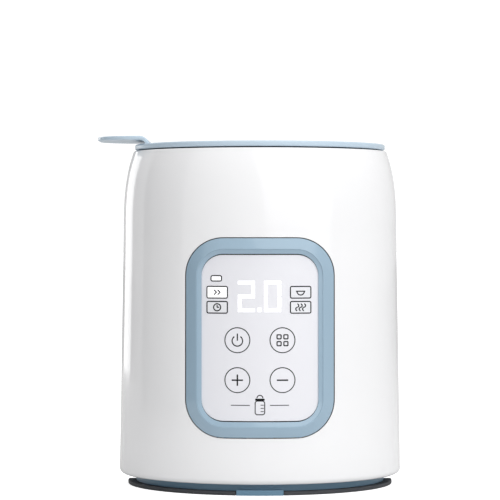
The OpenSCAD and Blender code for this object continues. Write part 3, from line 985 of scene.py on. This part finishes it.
@dataclass
class Housing:
    """Gloss white outer shell with its panel opening and the slot for the inlet."""

    shape: HousingShape
    panel: PanelLayout
    wall: float = 2.4 * MM
    lip: float = 4.0 * MM
    lip_rise: float = 0.6 * MM
    lip_slope: float = 3.0 * MM
    deck: float = 2.5 * MM
    seal_lap: float = 3.0 * MM
    top_edge: float = 0.7 * MM
    inner_edge: float = 0.5 * MM
    seam: float = 0.42 * MM
    inlet_gap: float = 0.25 * MM
    inlet_corner: float = 0.8 * MM
    cut_reach: float = 90 * MM
    panel_cut: float = 20 * MM
    inlet_cut: float = 40 * MM
    wall_rows: int = 12
    shoulder_rows: int = 30
    inner_rows: int = 10
    steps: int = 256

    def rows(self, first: float, last: float, count: int, inset: float = 0.0) -> list[Point]:
        """Corners along the wall, from just past one height to another.

        Args:
            first: height that the rows start from.
            last: height of the last row.
            count: number of rows.
            inset: distance of the rows inside the outer face.

        Returns:
            The corners as radius and height.
        """
        heights = (first + (last - first) * i / count for i in range(1, count + 1))
        return [(self.shape.radius_at(z) - inset, z) for z in heights]

    def profile(self) -> list[Point]:
        """Outline of the shell's wall and deck, from the bottom edge round to the inside.

        Returns:
            The corners as radius and height.
        """
        shape, edge = self.shape, self.inner_edge
        start = shape.bottom + shape.edge
        bend = shape.top - shape.shoulder
        last = shape.top - self.top_edge
        under = max(shape.top - self.deck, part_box("water_pot")[1].z)
        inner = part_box("pot_seal")[1].x - self.seal_lap
        foot = shape.radius - self.lip
        return [*arc((shape.radius - shape.edge, start), shape.edge, -90, 0, 8),
                *self.rows(start, bend, self.wall_rows),
                *self.rows(bend, last, self.shoulder_rows),
                *arc((shape.radius_at(last) - self.top_edge, last), self.top_edge, 0, 90, 5)[1:],
                *arc((inner + edge, shape.top - edge), edge, 90, 180, 5),
                (inner, under), (shape.radius_at(under) - self.wall, under),
                *self.rows(under, bend, self.inner_rows, self.wall),
                (shape.radius - self.wall, start + self.lip_slope),
                (foot, start + self.lip_rise), (foot, shape.bottom)]

    def build(self) -> None:
        """Builds the shell and cuts its openings."""
        shell = Bench.spun("housing_shell", self.profile(), self.steps)
        Bench.smooth(shell, degrees=30)
        source = Bench.copy(shell, "housing_source")
        width, height = self.panel.frame_size()
        opening = Bench.slab("panel_opening", 0, self.panel.centre, width + 2 * self.seam,
                             height + 2 * self.seam, self.panel.frame_corner + self.seam,
                             -self.cut_reach, -self.panel_cut, segments=20)
        low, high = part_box("power_inlet")
        slot = Bench.slab("inlet_opening", 0, (low.z + high.z) / 2,
                          high.x - low.x + 2 * self.inlet_gap,
                          high.z - low.z + 2 * self.inlet_gap, self.inlet_corner,
                          self.inlet_cut, self.cut_reach)
        Bench.combine(shell, opening, "DIFFERENCE")
        Bench.combine(shell, slot, "DIFFERENCE")
        Bench.take_normals(shell, source)
        register(shell, GLOSS_WHITE, Body.HOUSING, Slot.HOUSING, "outer_housing")


@dataclass
class LiftBasket:
    """Blue basket: rim flange, slotted cup and the flat handle, one moulding."""

    well: float = 40 * MM
    wall: float = 1.8 * MM
    rim_edge: float = 0.7 * MM
    lip_edge: float = 1.2 * MM
    fillet: float = 1.2 * MM
    floor: float = 2.0 * MM
    floor_corner: float = 2.0 * MM
    handle_width: float = 50 * MM
    handle_thick: float = 1.8 * MM
    handle_gap: float = 1.6 * MM
    handle_corner: float = 19 * MM
    handle_bend: float = 4.4 * MM
    handle_sink: float = 0.3 * MM
    rim_thick: float = 2.5 * MM
    rim_radius: float = 57.8 * MM
    small_edge: float = 0.5 * MM
    foot: float = 6.0 * MM
    foot_radius: float = 3.0 * MM
    foot_inset: float = 4.0 * MM
    foot_count: int = 4
    slots: int = 8
    slot_width: float = 5 * MM
    slot_round: float = 0.98
    slot_margin: float = 14 * MM
    hole_ring: float = 18 * MM
    hole_radius: float = 4 * MM
    hole_count: int = 6
    through: float = 2.0 * MM
    steps: int = 192

    @property
    def outer(self) -> float:
        """Outer radius of the cup."""
        return self.well + self.wall

    def heights(self) -> tuple[float, float, float, float]:
        """Heights of the cup's floor, the rim's underside, the rim's top and the handle's top.

        Returns:
            The four heights.
        """
        low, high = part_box("lift_basket")
        rim_top = high.z - self.handle_thick - self.handle_gap
        return low.z + self.foot, rim_top - self.rim_thick, rim_top, high.z

    def cup(self) -> Piece:
        """Builds the rim flange and the cup under it.

        Returns:
            The piece, with its slots and floor holes cut.
        """
        floor, rim_low, rim_top, _ = self.heights()
        rounded = [((self.outer - self.floor_corner, floor + self.floor_corner),
                    self.floor_corner, -90, 0, 6),
                   ((self.outer + self.fillet, rim_low - self.fillet), self.fillet, 180, 90, 5),
                   ((self.rim_radius - self.rim_edge, rim_low + self.rim_edge),
                    self.rim_edge, -90, 0, 5),
                   ((self.rim_radius - self.rim_edge, rim_top - self.rim_edge),
                    self.rim_edge, 0, 90, 5),
                   ((self.well + self.lip_edge, rim_top - self.lip_edge),
                    self.lip_edge, 90, 180, 6),
                   ((self.well - self.floor_corner, floor + self.floor + self.floor_corner),
                    self.floor_corner, 0, -90, 6)]
        corners = [point for corner in rounded for point in arc(*corner)]
        piece = Bench.spun("basket_cup", [(0, floor), *corners, (0, floor + self.floor)],
                           self.steps)
        Bench.smooth(piece, degrees=30)
        source = Bench.copy(piece, "cup_source")
        Bench.combine(piece, self.slot_cutters(floor, rim_low), "DIFFERENCE")
        Bench.combine(piece, self.hole_cutters(floor), "DIFFERENCE")
        Bench.take_normals(piece, source)
        return piece

    def slot_cutters(self, floor: float, rim_low: float) -> Piece:
        """Makes the cutters for the cup's upright slots, all in one piece.

        Args:
            floor: height of the underside of the cup's floor.
            rim_low: height of the rim's underside.

        Returns:
            The cutters.
        """
        low, high = floor + self.slot_margin, rim_low - self.slot_margin
        first = Bench.slab("slot_0", 0, (low + high) / 2, self.slot_width,
                           high - low + self.slot_width,
                           self.slot_width / 2 * self.slot_round,
                           -(self.outer + self.through), -(self.well - self.through))
        cutters = []
        for index in range(self.slots):
            cutter = Bench.copy(first, f"slot_{index + 1}")
            cutter.rotation_euler = (0, 0, math.radians(360 * (index + 0.5) / self.slots + 90))
            Bench.settle(cutter)
            cutters.append(cutter)
        Bench.remove(first)
        return Bench.join("slot_cutters", cutters)

    def hole_cutters(self, floor: float) -> Piece:
        """Makes the cutters for the drain holes in the cup's floor, all in one piece.

        Args:
            floor: height of the underside of the cup's floor.

        Returns:
            The cutters.
        """
        span = (floor - self.through, floor + self.floor + self.through)
        places = [(0.0, 0.0), *circle(self.hole_ring, self.hole_count)]
        return Bench.join("hole_cutters", Bench.posts(places, self.hole_radius, *span))

    def handle(self) -> Piece:
        """Builds the handle: a rounded plate whose inner end bends down into the rim.

        Returns:
            The piece.
        """
        _, rim_low, _, top = self.heights()
        web = -math.sqrt(self.rim_radius ** 2 - (self.handle_width / 2) ** 2)
        bend_x = web - (self.handle_bend - self.handle_thick)
        bend_z = top - self.handle_bend
        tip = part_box("lift_basket")[0].x
        bpy.ops.mesh.primitive_plane_add(size=1, location=((tip + bend_x) / 2, 0, top))
        piece = Bench.fresh("basket_handle", bend_x - tip, self.handle_width)
        with Bench.editing(piece):
            Bench.choose(piece, "vertices", lambda corner: corner.co.x < bend_x - MM)
            bpy.ops.mesh.bevel(offset=self.handle_corner, affect="VERTICES", segments=14)
            bpy.ops.mesh.select_all(action="SELECT")
            bpy.ops.mesh.extrude_region_move(
                TRANSFORM_OT_translate={"value": (0, 0, -self.handle_thick)})
            Bench.heal()
            bpy.ops.mesh.select_mode(type="FACE")
            Bench.choose(piece, "polygons", lambda face: face.center.x > bend_x - HAIR)
            bpy.ops.mesh.spin(steps=10, angle=math.radians(-90), axis=(0, 1, 0),
                              center=(bend_x, 0, bend_z))
            bpy.ops.mesh.extrude_region_move(TRANSFORM_OT_translate={
                "value": (0, 0, rim_low + self.handle_sink - bend_z)})
            Bench.heal()
        Bench.apply(piece, "BEVEL", width=self.small_edge, segments=4, limit_method="ANGLE",
                    angle_limit=math.radians(50), use_clamp_overlap=True)
        Bench.smooth(piece, degrees=40)
        return piece

    def feet(self) -> Piece:
        """Builds the four short feet under the cup.

        Returns:
            The feet, in one piece.
        """
        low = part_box("lift_basket")[0].z
        places = circle(self.outer - self.foot_inset, self.foot_count)
        feet = Bench.posts(places, self.foot_radius, low, low + self.foot + MM)
        for foot in feet:
            Bench.apply(foot, "BEVEL", width=self.small_edge, segments=3, limit_method="ANGLE")
        piece = Bench.join("basket_feet", feet)
        Bench.smooth(piece)
        return piece

    def build(self) -> None:
        """Builds the whole basket."""
        for piece in (self.cup(), self.handle(), self.feet()):
            register(piece, BASKET_BLUE, Body.BASKET, Slot.BASKET, "lift_basket")


@dataclass
class PanelBezel:
    """Blue frame round the control panel, sloped outside and inside to a raised crest."""

    shape: HousingShape
    panel: PanelLayout
    depth: float = 3.6 * MM
    proud: float = 0.1 * MM
    edge: float = 0.35 * MM
    rise: float = 1.35 * MM
    bead: float = 0.56 * MM
    bead_rise: float = 0.05 * MM
    wall: float = 0.12 * MM
    step: float = 0.4 * MM
    fall: float = 0.7 * MM
    lip: float = 0.15 * MM
    lip_fall: float = 0.25 * MM
    outer_share: float = 0.615
    long_cuts: int = 26
    long_edge: float = 10 * MM

    def steps(self) -> list[tuple[float, float]]:
        """Steps of the frame's section from the outside in.

        Returns:
            The width and the rise of each step.
        """
        slope = self.panel.frame_width * self.outer_share - self.edge
        inner = self.panel.frame_width - self.edge - slope - self.bead - self.wall - self.lip
        return [(self.edge * 0.4, self.edge * 0.5), (self.edge * 0.6, self.edge * 0.2),
                (slope, self.rise), (self.bead / 2, self.bead_rise), (self.bead / 2, 0.0),
                (self.wall, -self.step), (inner, -self.fall), (self.lip, -self.lip_fall)]

    def build(self) -> None:
        """Builds the frame flat, then bends it round the housing."""
        panel = self.panel
        piece = Bench.slab("panel_bezel_frame", 0, panel.centre, *panel.frame_size(),
                           panel.frame_corner, -self.proud, self.depth, segments=20)
        with Bench.editing(piece, "EDGE"):
            Bench.choose(piece, "edges", lambda edge: self.is_long(piece, edge))
            bpy.ops.mesh.subdivide(number_cuts=self.long_cuts)
            bpy.ops.mesh.select_mode(type="FACE")
            Bench.choose(piece, "polygons", lambda face: face.center.y < 0)
            for inset, depth in self.steps():
                bpy.ops.mesh.inset(thickness=inset, depth=depth, use_even_offset=True)
            bpy.ops.mesh.delete(type="FACE")
            Bench.choose(piece, "polygons", lambda face: face.center.y > self.depth - HAIR)
            bpy.ops.mesh.inset(thickness=panel.frame_width, use_even_offset=True)
            bpy.ops.mesh.delete(type="FACE")
            bpy.ops.mesh.select_mode(type="EDGE")
            bpy.ops.mesh.select_non_manifold()
            bpy.ops.mesh.bridge_edge_loops()
            bpy.ops.mesh.select_all(action="SELECT")
            bpy.ops.mesh.normals_make_consistent(inside=False)
        self.wrap(piece)
        Bench.smooth(piece, degrees=24)
        register(piece, BEZEL_BLUE, Body.HOUSING, Slot.BEZEL, "panel_bezel")

    def is_long(self, piece: Piece, edge: bpy.types.MeshEdge) -> bool:
        """Whether an edge is one of the long ones that must bend with the frame.

        Args:
            piece: the piece that it belongs to.
            edge: the edge.

        Returns:
            Whether it is.
        """
        first, second = (piece.data.vertices[index].co for index in edge.vertices)
        return abs(second.y - first.y) < HAIR and (second - first).length > self.long_edge

    def wrap(self, piece: Piece) -> None:
        """Bends the flat frame round the housing, with y = 0 on the housing's face."""
        for vertex in piece.data.vertices:
            vertex.co.y = self.shape.face_y(vertex.co.x, vertex.co.z, -vertex.co.y)
        piece.data.update()


@dataclass(frozen=True)
class Stroke:
    """A straight printed line, in millimetres from the middle of its mark."""

    x: float
    z: float
    width: float
    height: float
    corner: float
    turn: float = 0.0

    def cutter(self, skin: PanelSkin, x: float, z: float) -> Piece:
        """Makes the line's cutter for a mark with its middle at x and z."""
        return skin.through("stroke", x + self.x * MM, z + self.z * MM, self.width * MM,
                            self.height * MM, self.corner * MM, self.turn)


@dataclass(frozen=True)
class Curve:
    """A printed ring or arc, in millimetres from the middle of its mark."""

    x: float
    z: float
    radius: float
    line: float
    start: float = 0.0
    sweep: float = 360.0

    def cutter(self, skin: PanelSkin, x: float, z: float) -> Piece:
        """Makes the curve's cutter for a mark with its middle at x and z."""
        return skin.ring_through("curve", x + self.x * MM, z + self.z * MM, self.radius * MM,
                                 self.line * MM, self.start, self.sweep)


@dataclass(frozen=True)
class Outline:
    """A printed rounded rectangle, in millimetres from the middle of its mark."""

    x: float
    z: float
    width: float
    height: float
    corner: float
    line: float

    def cutter(self, skin: PanelSkin, x: float, z: float) -> Piece:
        """Makes the outline's cutter for a mark with its middle at x and z."""
        return skin.frame_through("outline", x + self.x * MM, z + self.z * MM, self.width * MM,
                                  self.height * MM, self.corner * MM, self.line * MM)


class Mark(Enum):
    """Everything printed on the panel and its keys, as the lines it is made of."""

    FAST = tuple(Stroke(step + 0.5, drop, 1.7, 0.5, 0.2, 90 * drop)
                 for step in (-1.3, 0.3) for drop in (0.5, -0.5))
    CLOCK = (Curve(0, 0, 1.55, 0.5), Stroke(0, 0.45, 0.5, 1.1, 0.1), Stroke(0.4, 0, 0.9, 0.5, 0.1))
    FOOD = (Curve(0, 0.4, 1.6, 0.5, 180, 180), Stroke(0, 0.45, 4.2, 0.45, 0.2))
    STEAM = tuple(Curve(step - side * 0.1, side * 0.75, 0.75, 0.5, 10 - side * 90, 160)
                  for step in (-1.5, 0.0, 1.5) for side in (1, -1))
    BOTTLE = (Outline(0, -1.1, 4.6, 6.4, 1.2, 0.42), Stroke(0, 2.5, 4.2, 0.9, 0.25),
              Curve(0, 3.1, 1.3, 0.42, 0, 180),
              *(Stroke(1.0, step, 1.4, 0.32, 0.1) for step in (-2.7, -1.3, 0.1)),
              *(Stroke(side * 8.6, 0, 8.4, 0.34, 0.15) for side in (-1, 1)))
    POWER = (Curve(0, -0.3, 2.3, 0.52, 125, 290), Stroke(0, 1.35, 0.52, 3.2, 0.15))
    MODE = tuple(Outline(x, z, 2.3, 2.3, 0.55, 0.52) for z in (1.5, -1.5) for x in (-1.5, 1.5))
    PLUS = (Stroke(0, 0, 5.0, 0.64, 0.2), Stroke(0, 0, 0.64, 5.0, 0.2))
    MINUS = (Stroke(0, 0, 5.0, 0.64, 0.2),)

    def printed(self, name: str, skin: PanelSkin, x: float, z: float, proud: float) -> Piece:
        """Builds the mark as one thin piece.

        Args:
            name: name of the piece.
            skin: the skin that it lies on.
            x: middle of the mark.
            z: middle of the mark.
            proud: height of the print over the housing's face.

        Returns:
            The piece.
        """
        cutter, *others = (line.cutter(skin, x, z) for line in self.value)
        for other in others:
            Bench.combine(cutter, other, "UNION")
        cutter.name = name
        return skin.stamp(cutter, -skin.print_depth, proud)


@dataclass
class PanelFascia:
    """Pale face of the control panel with its windows, print and display."""

    skin: PanelSkin
    panel: PanelLayout
    thick: float = 1.8 * MM
    digit: tuple[float, float] = (7.5 * MM, 13.7 * MM)
    digit_x: tuple[float, float] = (-5.95 * MM, 5.55 * MM)
    digit_z: float = 18.2 * MM
    stroke: float = 1.6 * MM
    bar_gap: float = 0.06 * MM
    bar_corner: float = 0.25 * MM
    waist: float = 0.16 * MM
    dot: float = 1.9 * MM
    dot_corner: float = 0.3 * MM
    inlay: float = 0.4 * MM
    digit_proud: float = 0.05 * MM
    line: float = 0.5 * MM
    line_proud: float = 0.07 * MM
    lens_proud: float = 0.11 * MM
    symbol_proud: float = 0.14 * MM
    mark_z: float = -29.5 * MM
    mark_proud: float = 0.03 * MM

    def build(self) -> None:
        """Builds the face, the digits, the lit windows and the printed mark."""
        self.build_plate()
        self.build_digits()
        self.build_windows()
        self.register_print(Mark.BOTTLE, 0, self.panel.centre + self.mark_z, self.mark_proud)

    def register_print(self, mark: Mark, x: float, z: float, proud: float) -> None:
        """Builds a printed mark with its middle at x and z."""
        piece = mark.printed(f"mark_{mark.name.lower()}", self.skin, x, z, proud)
        register(piece, INK_AND_SHADOW_DARK, Body.HOUSING, Slot.WINDOW, "indicator_windows")

    def build_plate(self) -> None:
        """Builds the curved plate with its four key holes."""
        panel, skin = self.panel, self.skin
        blank = skin.through("panel_face", 0, panel.centre, panel.width, panel.height,
                             panel.corner)
        plate = skin.stamp(blank, -self.thick, 0.0)
        source = Bench.copy(plate, "face_source")
        for x in (-panel.key_x, panel.key_x):
            for row in panel.key_rows:
                hole = skin.round_through("key_hole", x, panel.centre + row,
                                          panel.key_radius + panel.key_gap)
                Bench.combine(plate, hole, "DIFFERENCE")
        Bench.take_normals(plate, source)
        register(plate, FASCIA_PALE, Body.HOUSING, Slot.FASCIA, "panel_fascia")

    def segments(self, x: float, names: str) -> list[Piece]:
        """Makes the cutters for the bars of one digit.

        Args:
            x: middle of the digit.
            names: bars wanted, of a to g in the usual order.

        Returns:
            One cutter for each bar.
        """
        width, height = self.digit
        stroke, gap = self.stroke, self.bar_gap
        across, down = (width - stroke) / 2, (height - stroke) / 2
        waist = stroke / 2 if "g" in names else self.waist
        rise = (waist + height / 2 - stroke) / 2
        lying, standing = (width, stroke), (stroke, height / 2 - stroke - waist - 2 * gap)
        places = {"a": (0.0, down, lying), "d": (0.0, -down, lying), "g": (0.0, 0.0, lying),
                  "b": (across, rise, standing), "c": (across, -rise, standing),
                  "e": (-across, -rise, standing), "f": (-across, rise, standing)}
        middle = self.panel.centre + self.digit_z
        return [self.skin.through(f"bar_{name}", x + side, middle + up, *size, self.bar_corner)
                for name, (side, up, size) in ((name, places[name]) for name in names)]

    def build_digits(self) -> None:
        """Builds the two lit digits and the dot between them."""
        left, right = self.digit_x
        dot_z = self.panel.centre + self.digit_z - (self.digit[1] - self.dot) / 2
        bars = {"digit_left": self.segments(left, "abged"),
                "digit_right": self.segments(right, "abcdef"),
                "digit_dot": [self.skin.through("dot", (left + right) / 2, dot_z, self.dot,
                                                self.dot, self.dot_corner)]}
        for name, cutters in bars.items():
            pieces = [self.skin.stamp(cutter, -self.inlay, self.digit_proud)
                      for cutter in cutters]
            register(Bench.join(name, pieces), DIGIT_LIT, Body.HOUSING, Slot.WINDOW,
                     "indicator_windows")

    def build_windows(self) -> None:
        """Builds the window lenses with their dark outlines and the marks on them."""
        skin, corner, line = self.skin, self.panel.window_corner, self.line
        for name, x, z, width, height, lit in self.panel.windows():
            edge = skin.frame_through(f"window_edge_{name}", x, z, width, height, corner, line)
            lens = skin.through(f"window_{name}", x, z, width - 2 * line, height - 2 * line,
                                corner - line)
            for cutter, proud, finish in ((edge, self.line_proud, INK_AND_SHADOW_DARK),
                                          (lens, self.lens_proud,
                                           WINDOW_LIT if lit else WINDOW_DIM)):
                register(skin.stamp(cutter, -self.inlay, proud), finish, Body.HOUSING,
                         Slot.WINDOW, "indicator_windows")
            if name != "lamp":
                self.register_print(Mark[name.upper()], x, z, self.symbol_proud)


@dataclass
class PushKey:
    """One round push key: its curved cap, the plunger behind it and the mark on it."""

    mark: Mark
    skin: PanelSkin
    panel: PanelLayout
    cap: float = 1.6 * MM
    # rim: width of a dark ring at the cap's edge, painted shadow that stands for the shaded gap
    # round the key.
    rim: float = 0.14 * MM
    shadow_ring_proud: float = 0.02 * MM
    mark_proud: float = 0.03 * MM
    stem_radius: float = 1.5 * MM
    stem_lap: float = 0.3 * MM

    def place(self) -> Point:
        """Middle of the key as x and height.

        Returns:
            The two places.
        """
        side = -1 if self.mark in (Mark.POWER, Mark.PLUS) else 1
        row = self.panel.key_rows[0 if self.mark in (Mark.POWER, Mark.MODE) else 1]
        return side * self.panel.key_x, self.panel.centre + row

    def build(self) -> None:
        """Builds the cap with a dark ring of painted shadow at its edge, the plunger and the mark.
        """
        node, skin, rim = f"key_{self.mark.name.lower()}", self.skin, self.rim
        x, z = self.place()
        radius = self.panel.key_radius
        cap = skin.stamp(skin.round_through(f"{node}_cap", x, z, radius - rim), -self.cap, 0.0)
        # The rim ring is painted shadow: a dark ring where the gap round the key falls into shade.
        ring = skin.ring_through(f"{node}_rim", x, z, radius - rim / 2, rim)
        edge = skin.stamp(ring, -self.cap, self.shadow_ring_proud)
        front = skin.shape.face_y(x, z) + self.cap - self.stem_lap
        stem = Bench.disc(f"{node}_stem", x, z, self.stem_radius, front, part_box(node)[1].y,
                          sides=32)
        Bench.smooth(stem)
        printed = self.mark.printed(f"{node}_mark", skin, x, z, self.mark_proud)
        for piece, finish in ((edge, INK_AND_SHADOW_DARK), (cap, KEY_PALE), (stem, KEY_PALE),
                              (printed, INK_AND_SHADOW_DARK)):
            register(piece, finish, Body[self.mark.name], Slot.KEY, node)


@dataclass
class FootPads:
    """Grey rubber pads under the base cover."""

    inner: float = 52.5 * MM
    outer: float = 61 * MM
    tab_half: float = 10.4 * MM
    gap: float = 0.2 * MM
    front_end: float = 93.0
    rear: tuple[float, float] = (113.0, 168.0)
    edge: float = 0.45 * MM
    steps: int = 48

    def build(self) -> None:
        """Builds the four pads, two each side."""
        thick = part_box("foot_pads")[1].z
        start = math.degrees(math.asin((self.tab_half + self.gap) / self.outer))
        section = [(self.inner, 0.0), (self.outer, 0.0), (self.outer, thick), (self.inner, thick)]
        for name, first, last in (("front", start, self.front_end), ("rear", *self.rear)):
            for side, begin in (("right", first - 90), ("left", -90 - last)):
                pad = Bench.spun(f"foot_pad_{name}_{side}", section, self.steps, begin,
                                 last - first)
                Bench.apply(pad, "BEVEL", width=self.edge, segments=3, limit_method="ANGLE",
                            angle_limit=math.radians(40))
                Bench.smooth(pad, degrees=40)
                register(pad, FOOT_RUBBER, Body.HOUSING, Slot.FOOT, "foot_pads")


class InnerWorks:
    """Finishes of the CAD pieces that stay as they are."""

    FINISHES: dict[Finish, tuple[str, ...]] = {
        # The base cover's darker blue holds painted shade.
        BASE_BLUE_SHADED: ("base_cover",),
        POT_COATING: ("water_pot",),
        SEAL_SILICONE: ("pot_seal",),
        BRIGHT_STEEL: ("pot_screws", "heater_clamp", "clamp_screws", "control_board_screws",
                       "power_board_screws", "inlet_pins", "base_screws"),
        CAST_ALUMINIUM: ("heater_plate",),
        FILM_AMBER: ("heater_element",),
        LEAD_CREAM: ("thermal_fuse", "heater_leads"),
        LEAD_BROWN: ("inlet_leads",),
        DARK_MOULDING: ("temperature_sensor", "display_module", "tact_switches",
                        "filter_capacitor", "power_inlet"),
        CLEAR_GUIDE: ("light_guides", "board_fuse"),
        GREEN_BOARD: ("control_board", "power_board"),
        TAPE_YELLOW: ("transformer",),
        RELAY_BLUE: ("relay",),
        RIBBON_GREY: ("ribbon_lead",),
    }

    def dress(self) -> None:
        """Dresses every CAD piece that no new piece replaces."""
        for finish, nodes in self.FINISHES.items():
            for node in nodes:
                dress(bpy.data.objects[node], finish)


@dataclass(frozen=True)
class Panel:
    """A flat upright panel round the object, placed by its bearing from the front."""

    name: str
    bearing: float
    lift: float
    distance: float
    width: float
    height: float

    def place(self) -> Vector:
        """Middle of the panel."""
        turn, rise = math.radians(self.bearing), math.radians(self.lift)
        return Vector((math.sin(turn) * math.cos(rise), -math.cos(turn) * math.cos(rise),
                       math.sin(rise))) * self.distance + Vector((0, 0, AIM_HEIGHT))

    def facing(self) -> Euler:
        """Turn that points the panel's face at the object."""
        return (Vector((0, 0, AIM_HEIGHT)) - self.place()).to_track_quat("-Z", "Y").to_euler()


@dataclass(frozen=True)
class Softbox(Panel):
    """A lit panel that lights the object and shows in its gloss."""

    radiance: float = 1.0

    def build(self) -> None:
        """Adds the panel as an area light, unseen by the camera."""
        bpy.ops.object.light_add(type="AREA", location=self.place(), rotation=self.facing())
        light = bpy.context.object
        light.name = self.name
        light.data.shape = "RECTANGLE"
        light.data.size, light.data.size_y = self.width, self.height
        light.data.energy = self.radiance * math.pi * self.width * self.height
        light.visible_camera = False


@dataclass(frozen=True)
class DarkCard(Panel):
    """A dark panel that keeps light off one side and shows in the gloss."""

    def build(self) -> None:
        """Adds the panel as a dark plane, unseen by the camera."""
        bpy.ops.mesh.primitive_plane_add(size=1, location=self.place(), rotation=self.facing())
        card = bpy.context.object
        card.name = self.name
        card.scale = (self.width, self.height, 1)
        card.visible_camera = False
        dress(card, CARD_BLACK)


@dataclass
class Studio:
    """Pale floor, soft lights and the camera."""

    distance: float = 1.147
    camera_z: float = 0.1128
    lens: float = 178.0
    yaw: float = 0.23
    pitch: float = 0.25
    sensor: float = 36.0
    floor_size: float = 40.0
    surround: float = 0.66
    backdrop: float = 1.1

    def build(self) -> None:
        """Builds the floor, the lights, the world and the camera."""
        self.build_floor()
        for panel in (Softbox("key_light", bearing=32, lift=30, distance=1.3, width=1.5,
                              height=1.4, radiance=1.12),
                      Softbox("rear_left_strip", bearing=-143, lift=8, distance=1.2,
                              width=0.42, height=1.5, radiance=1.6),
                      Softbox("top_light", bearing=0, lift=80, distance=1.3, width=1.3,
                              height=1.2, radiance=1.3),
                      DarkCard("left_card", bearing=-88, lift=6, distance=0.75, width=0.62,
                               height=1.1)):
            panel.build()
        self.build_world()
        self.build_camera()

    def build_floor(self) -> None:
        """Adds the floor under the object."""
        bpy.ops.mesh.primitive_plane_add(size=self.floor_size, location=(0, 0, 0))
        floor = bpy.context.object
        floor.name = "studio_floor"
        dress(floor, FLOOR_WHITE)

    def build_world(self) -> None:
        """Sets an even surround that the camera sees as white."""
        scene = bpy.context.scene
        world = scene.world or bpy.data.worlds.new("surround")
        scene.world = world
        world.use_nodes = True
        tree = world.node_tree
        background = tree.nodes["Background"]
        background.inputs["Color"].default_value = (1.0, 1.0, 1.0, 1.0)
        tree.links.new(camera_share(tree, self.surround, self.backdrop),
                       background.inputs["Strength"])
        scene.view_settings.view_transform = "Standard"

    def build_camera(self) -> None:
        """Adds the camera in front of the control panel."""
        bpy.ops.object.camera_add(location=(0.0, -self.distance, self.camera_z),
                                  rotation=(math.radians(90 - self.pitch), 0,
                                            math.radians(self.yaw)))
        camera = bpy.context.object
        camera.data.lens = self.lens
        camera.data.sensor_width = self.sensor
        bpy.context.scene.camera = camera


def main() -> None:
    """Builds the bottle warmer and its studio."""
    logging.basicConfig(level=logging.INFO, format="%(name)s %(message)s")
    shape = HousingShape.from_frame()
    panel = PanelLayout.from_frame()
    skin = PanelSkin(shape)
    Housing(shape, panel).build()
    LiftBasket().build()
    PanelBezel(shape, panel).build()
    PanelFascia(skin, panel).build()
    for mark in (Mark.POWER, Mark.MODE, Mark.PLUS, Mark.MINUS):
        PushKey(mark, skin, panel).build()
    FootPads().build()
    InnerWorks().dress()
    Studio().build()


if __name__ == "__main__":
    main()
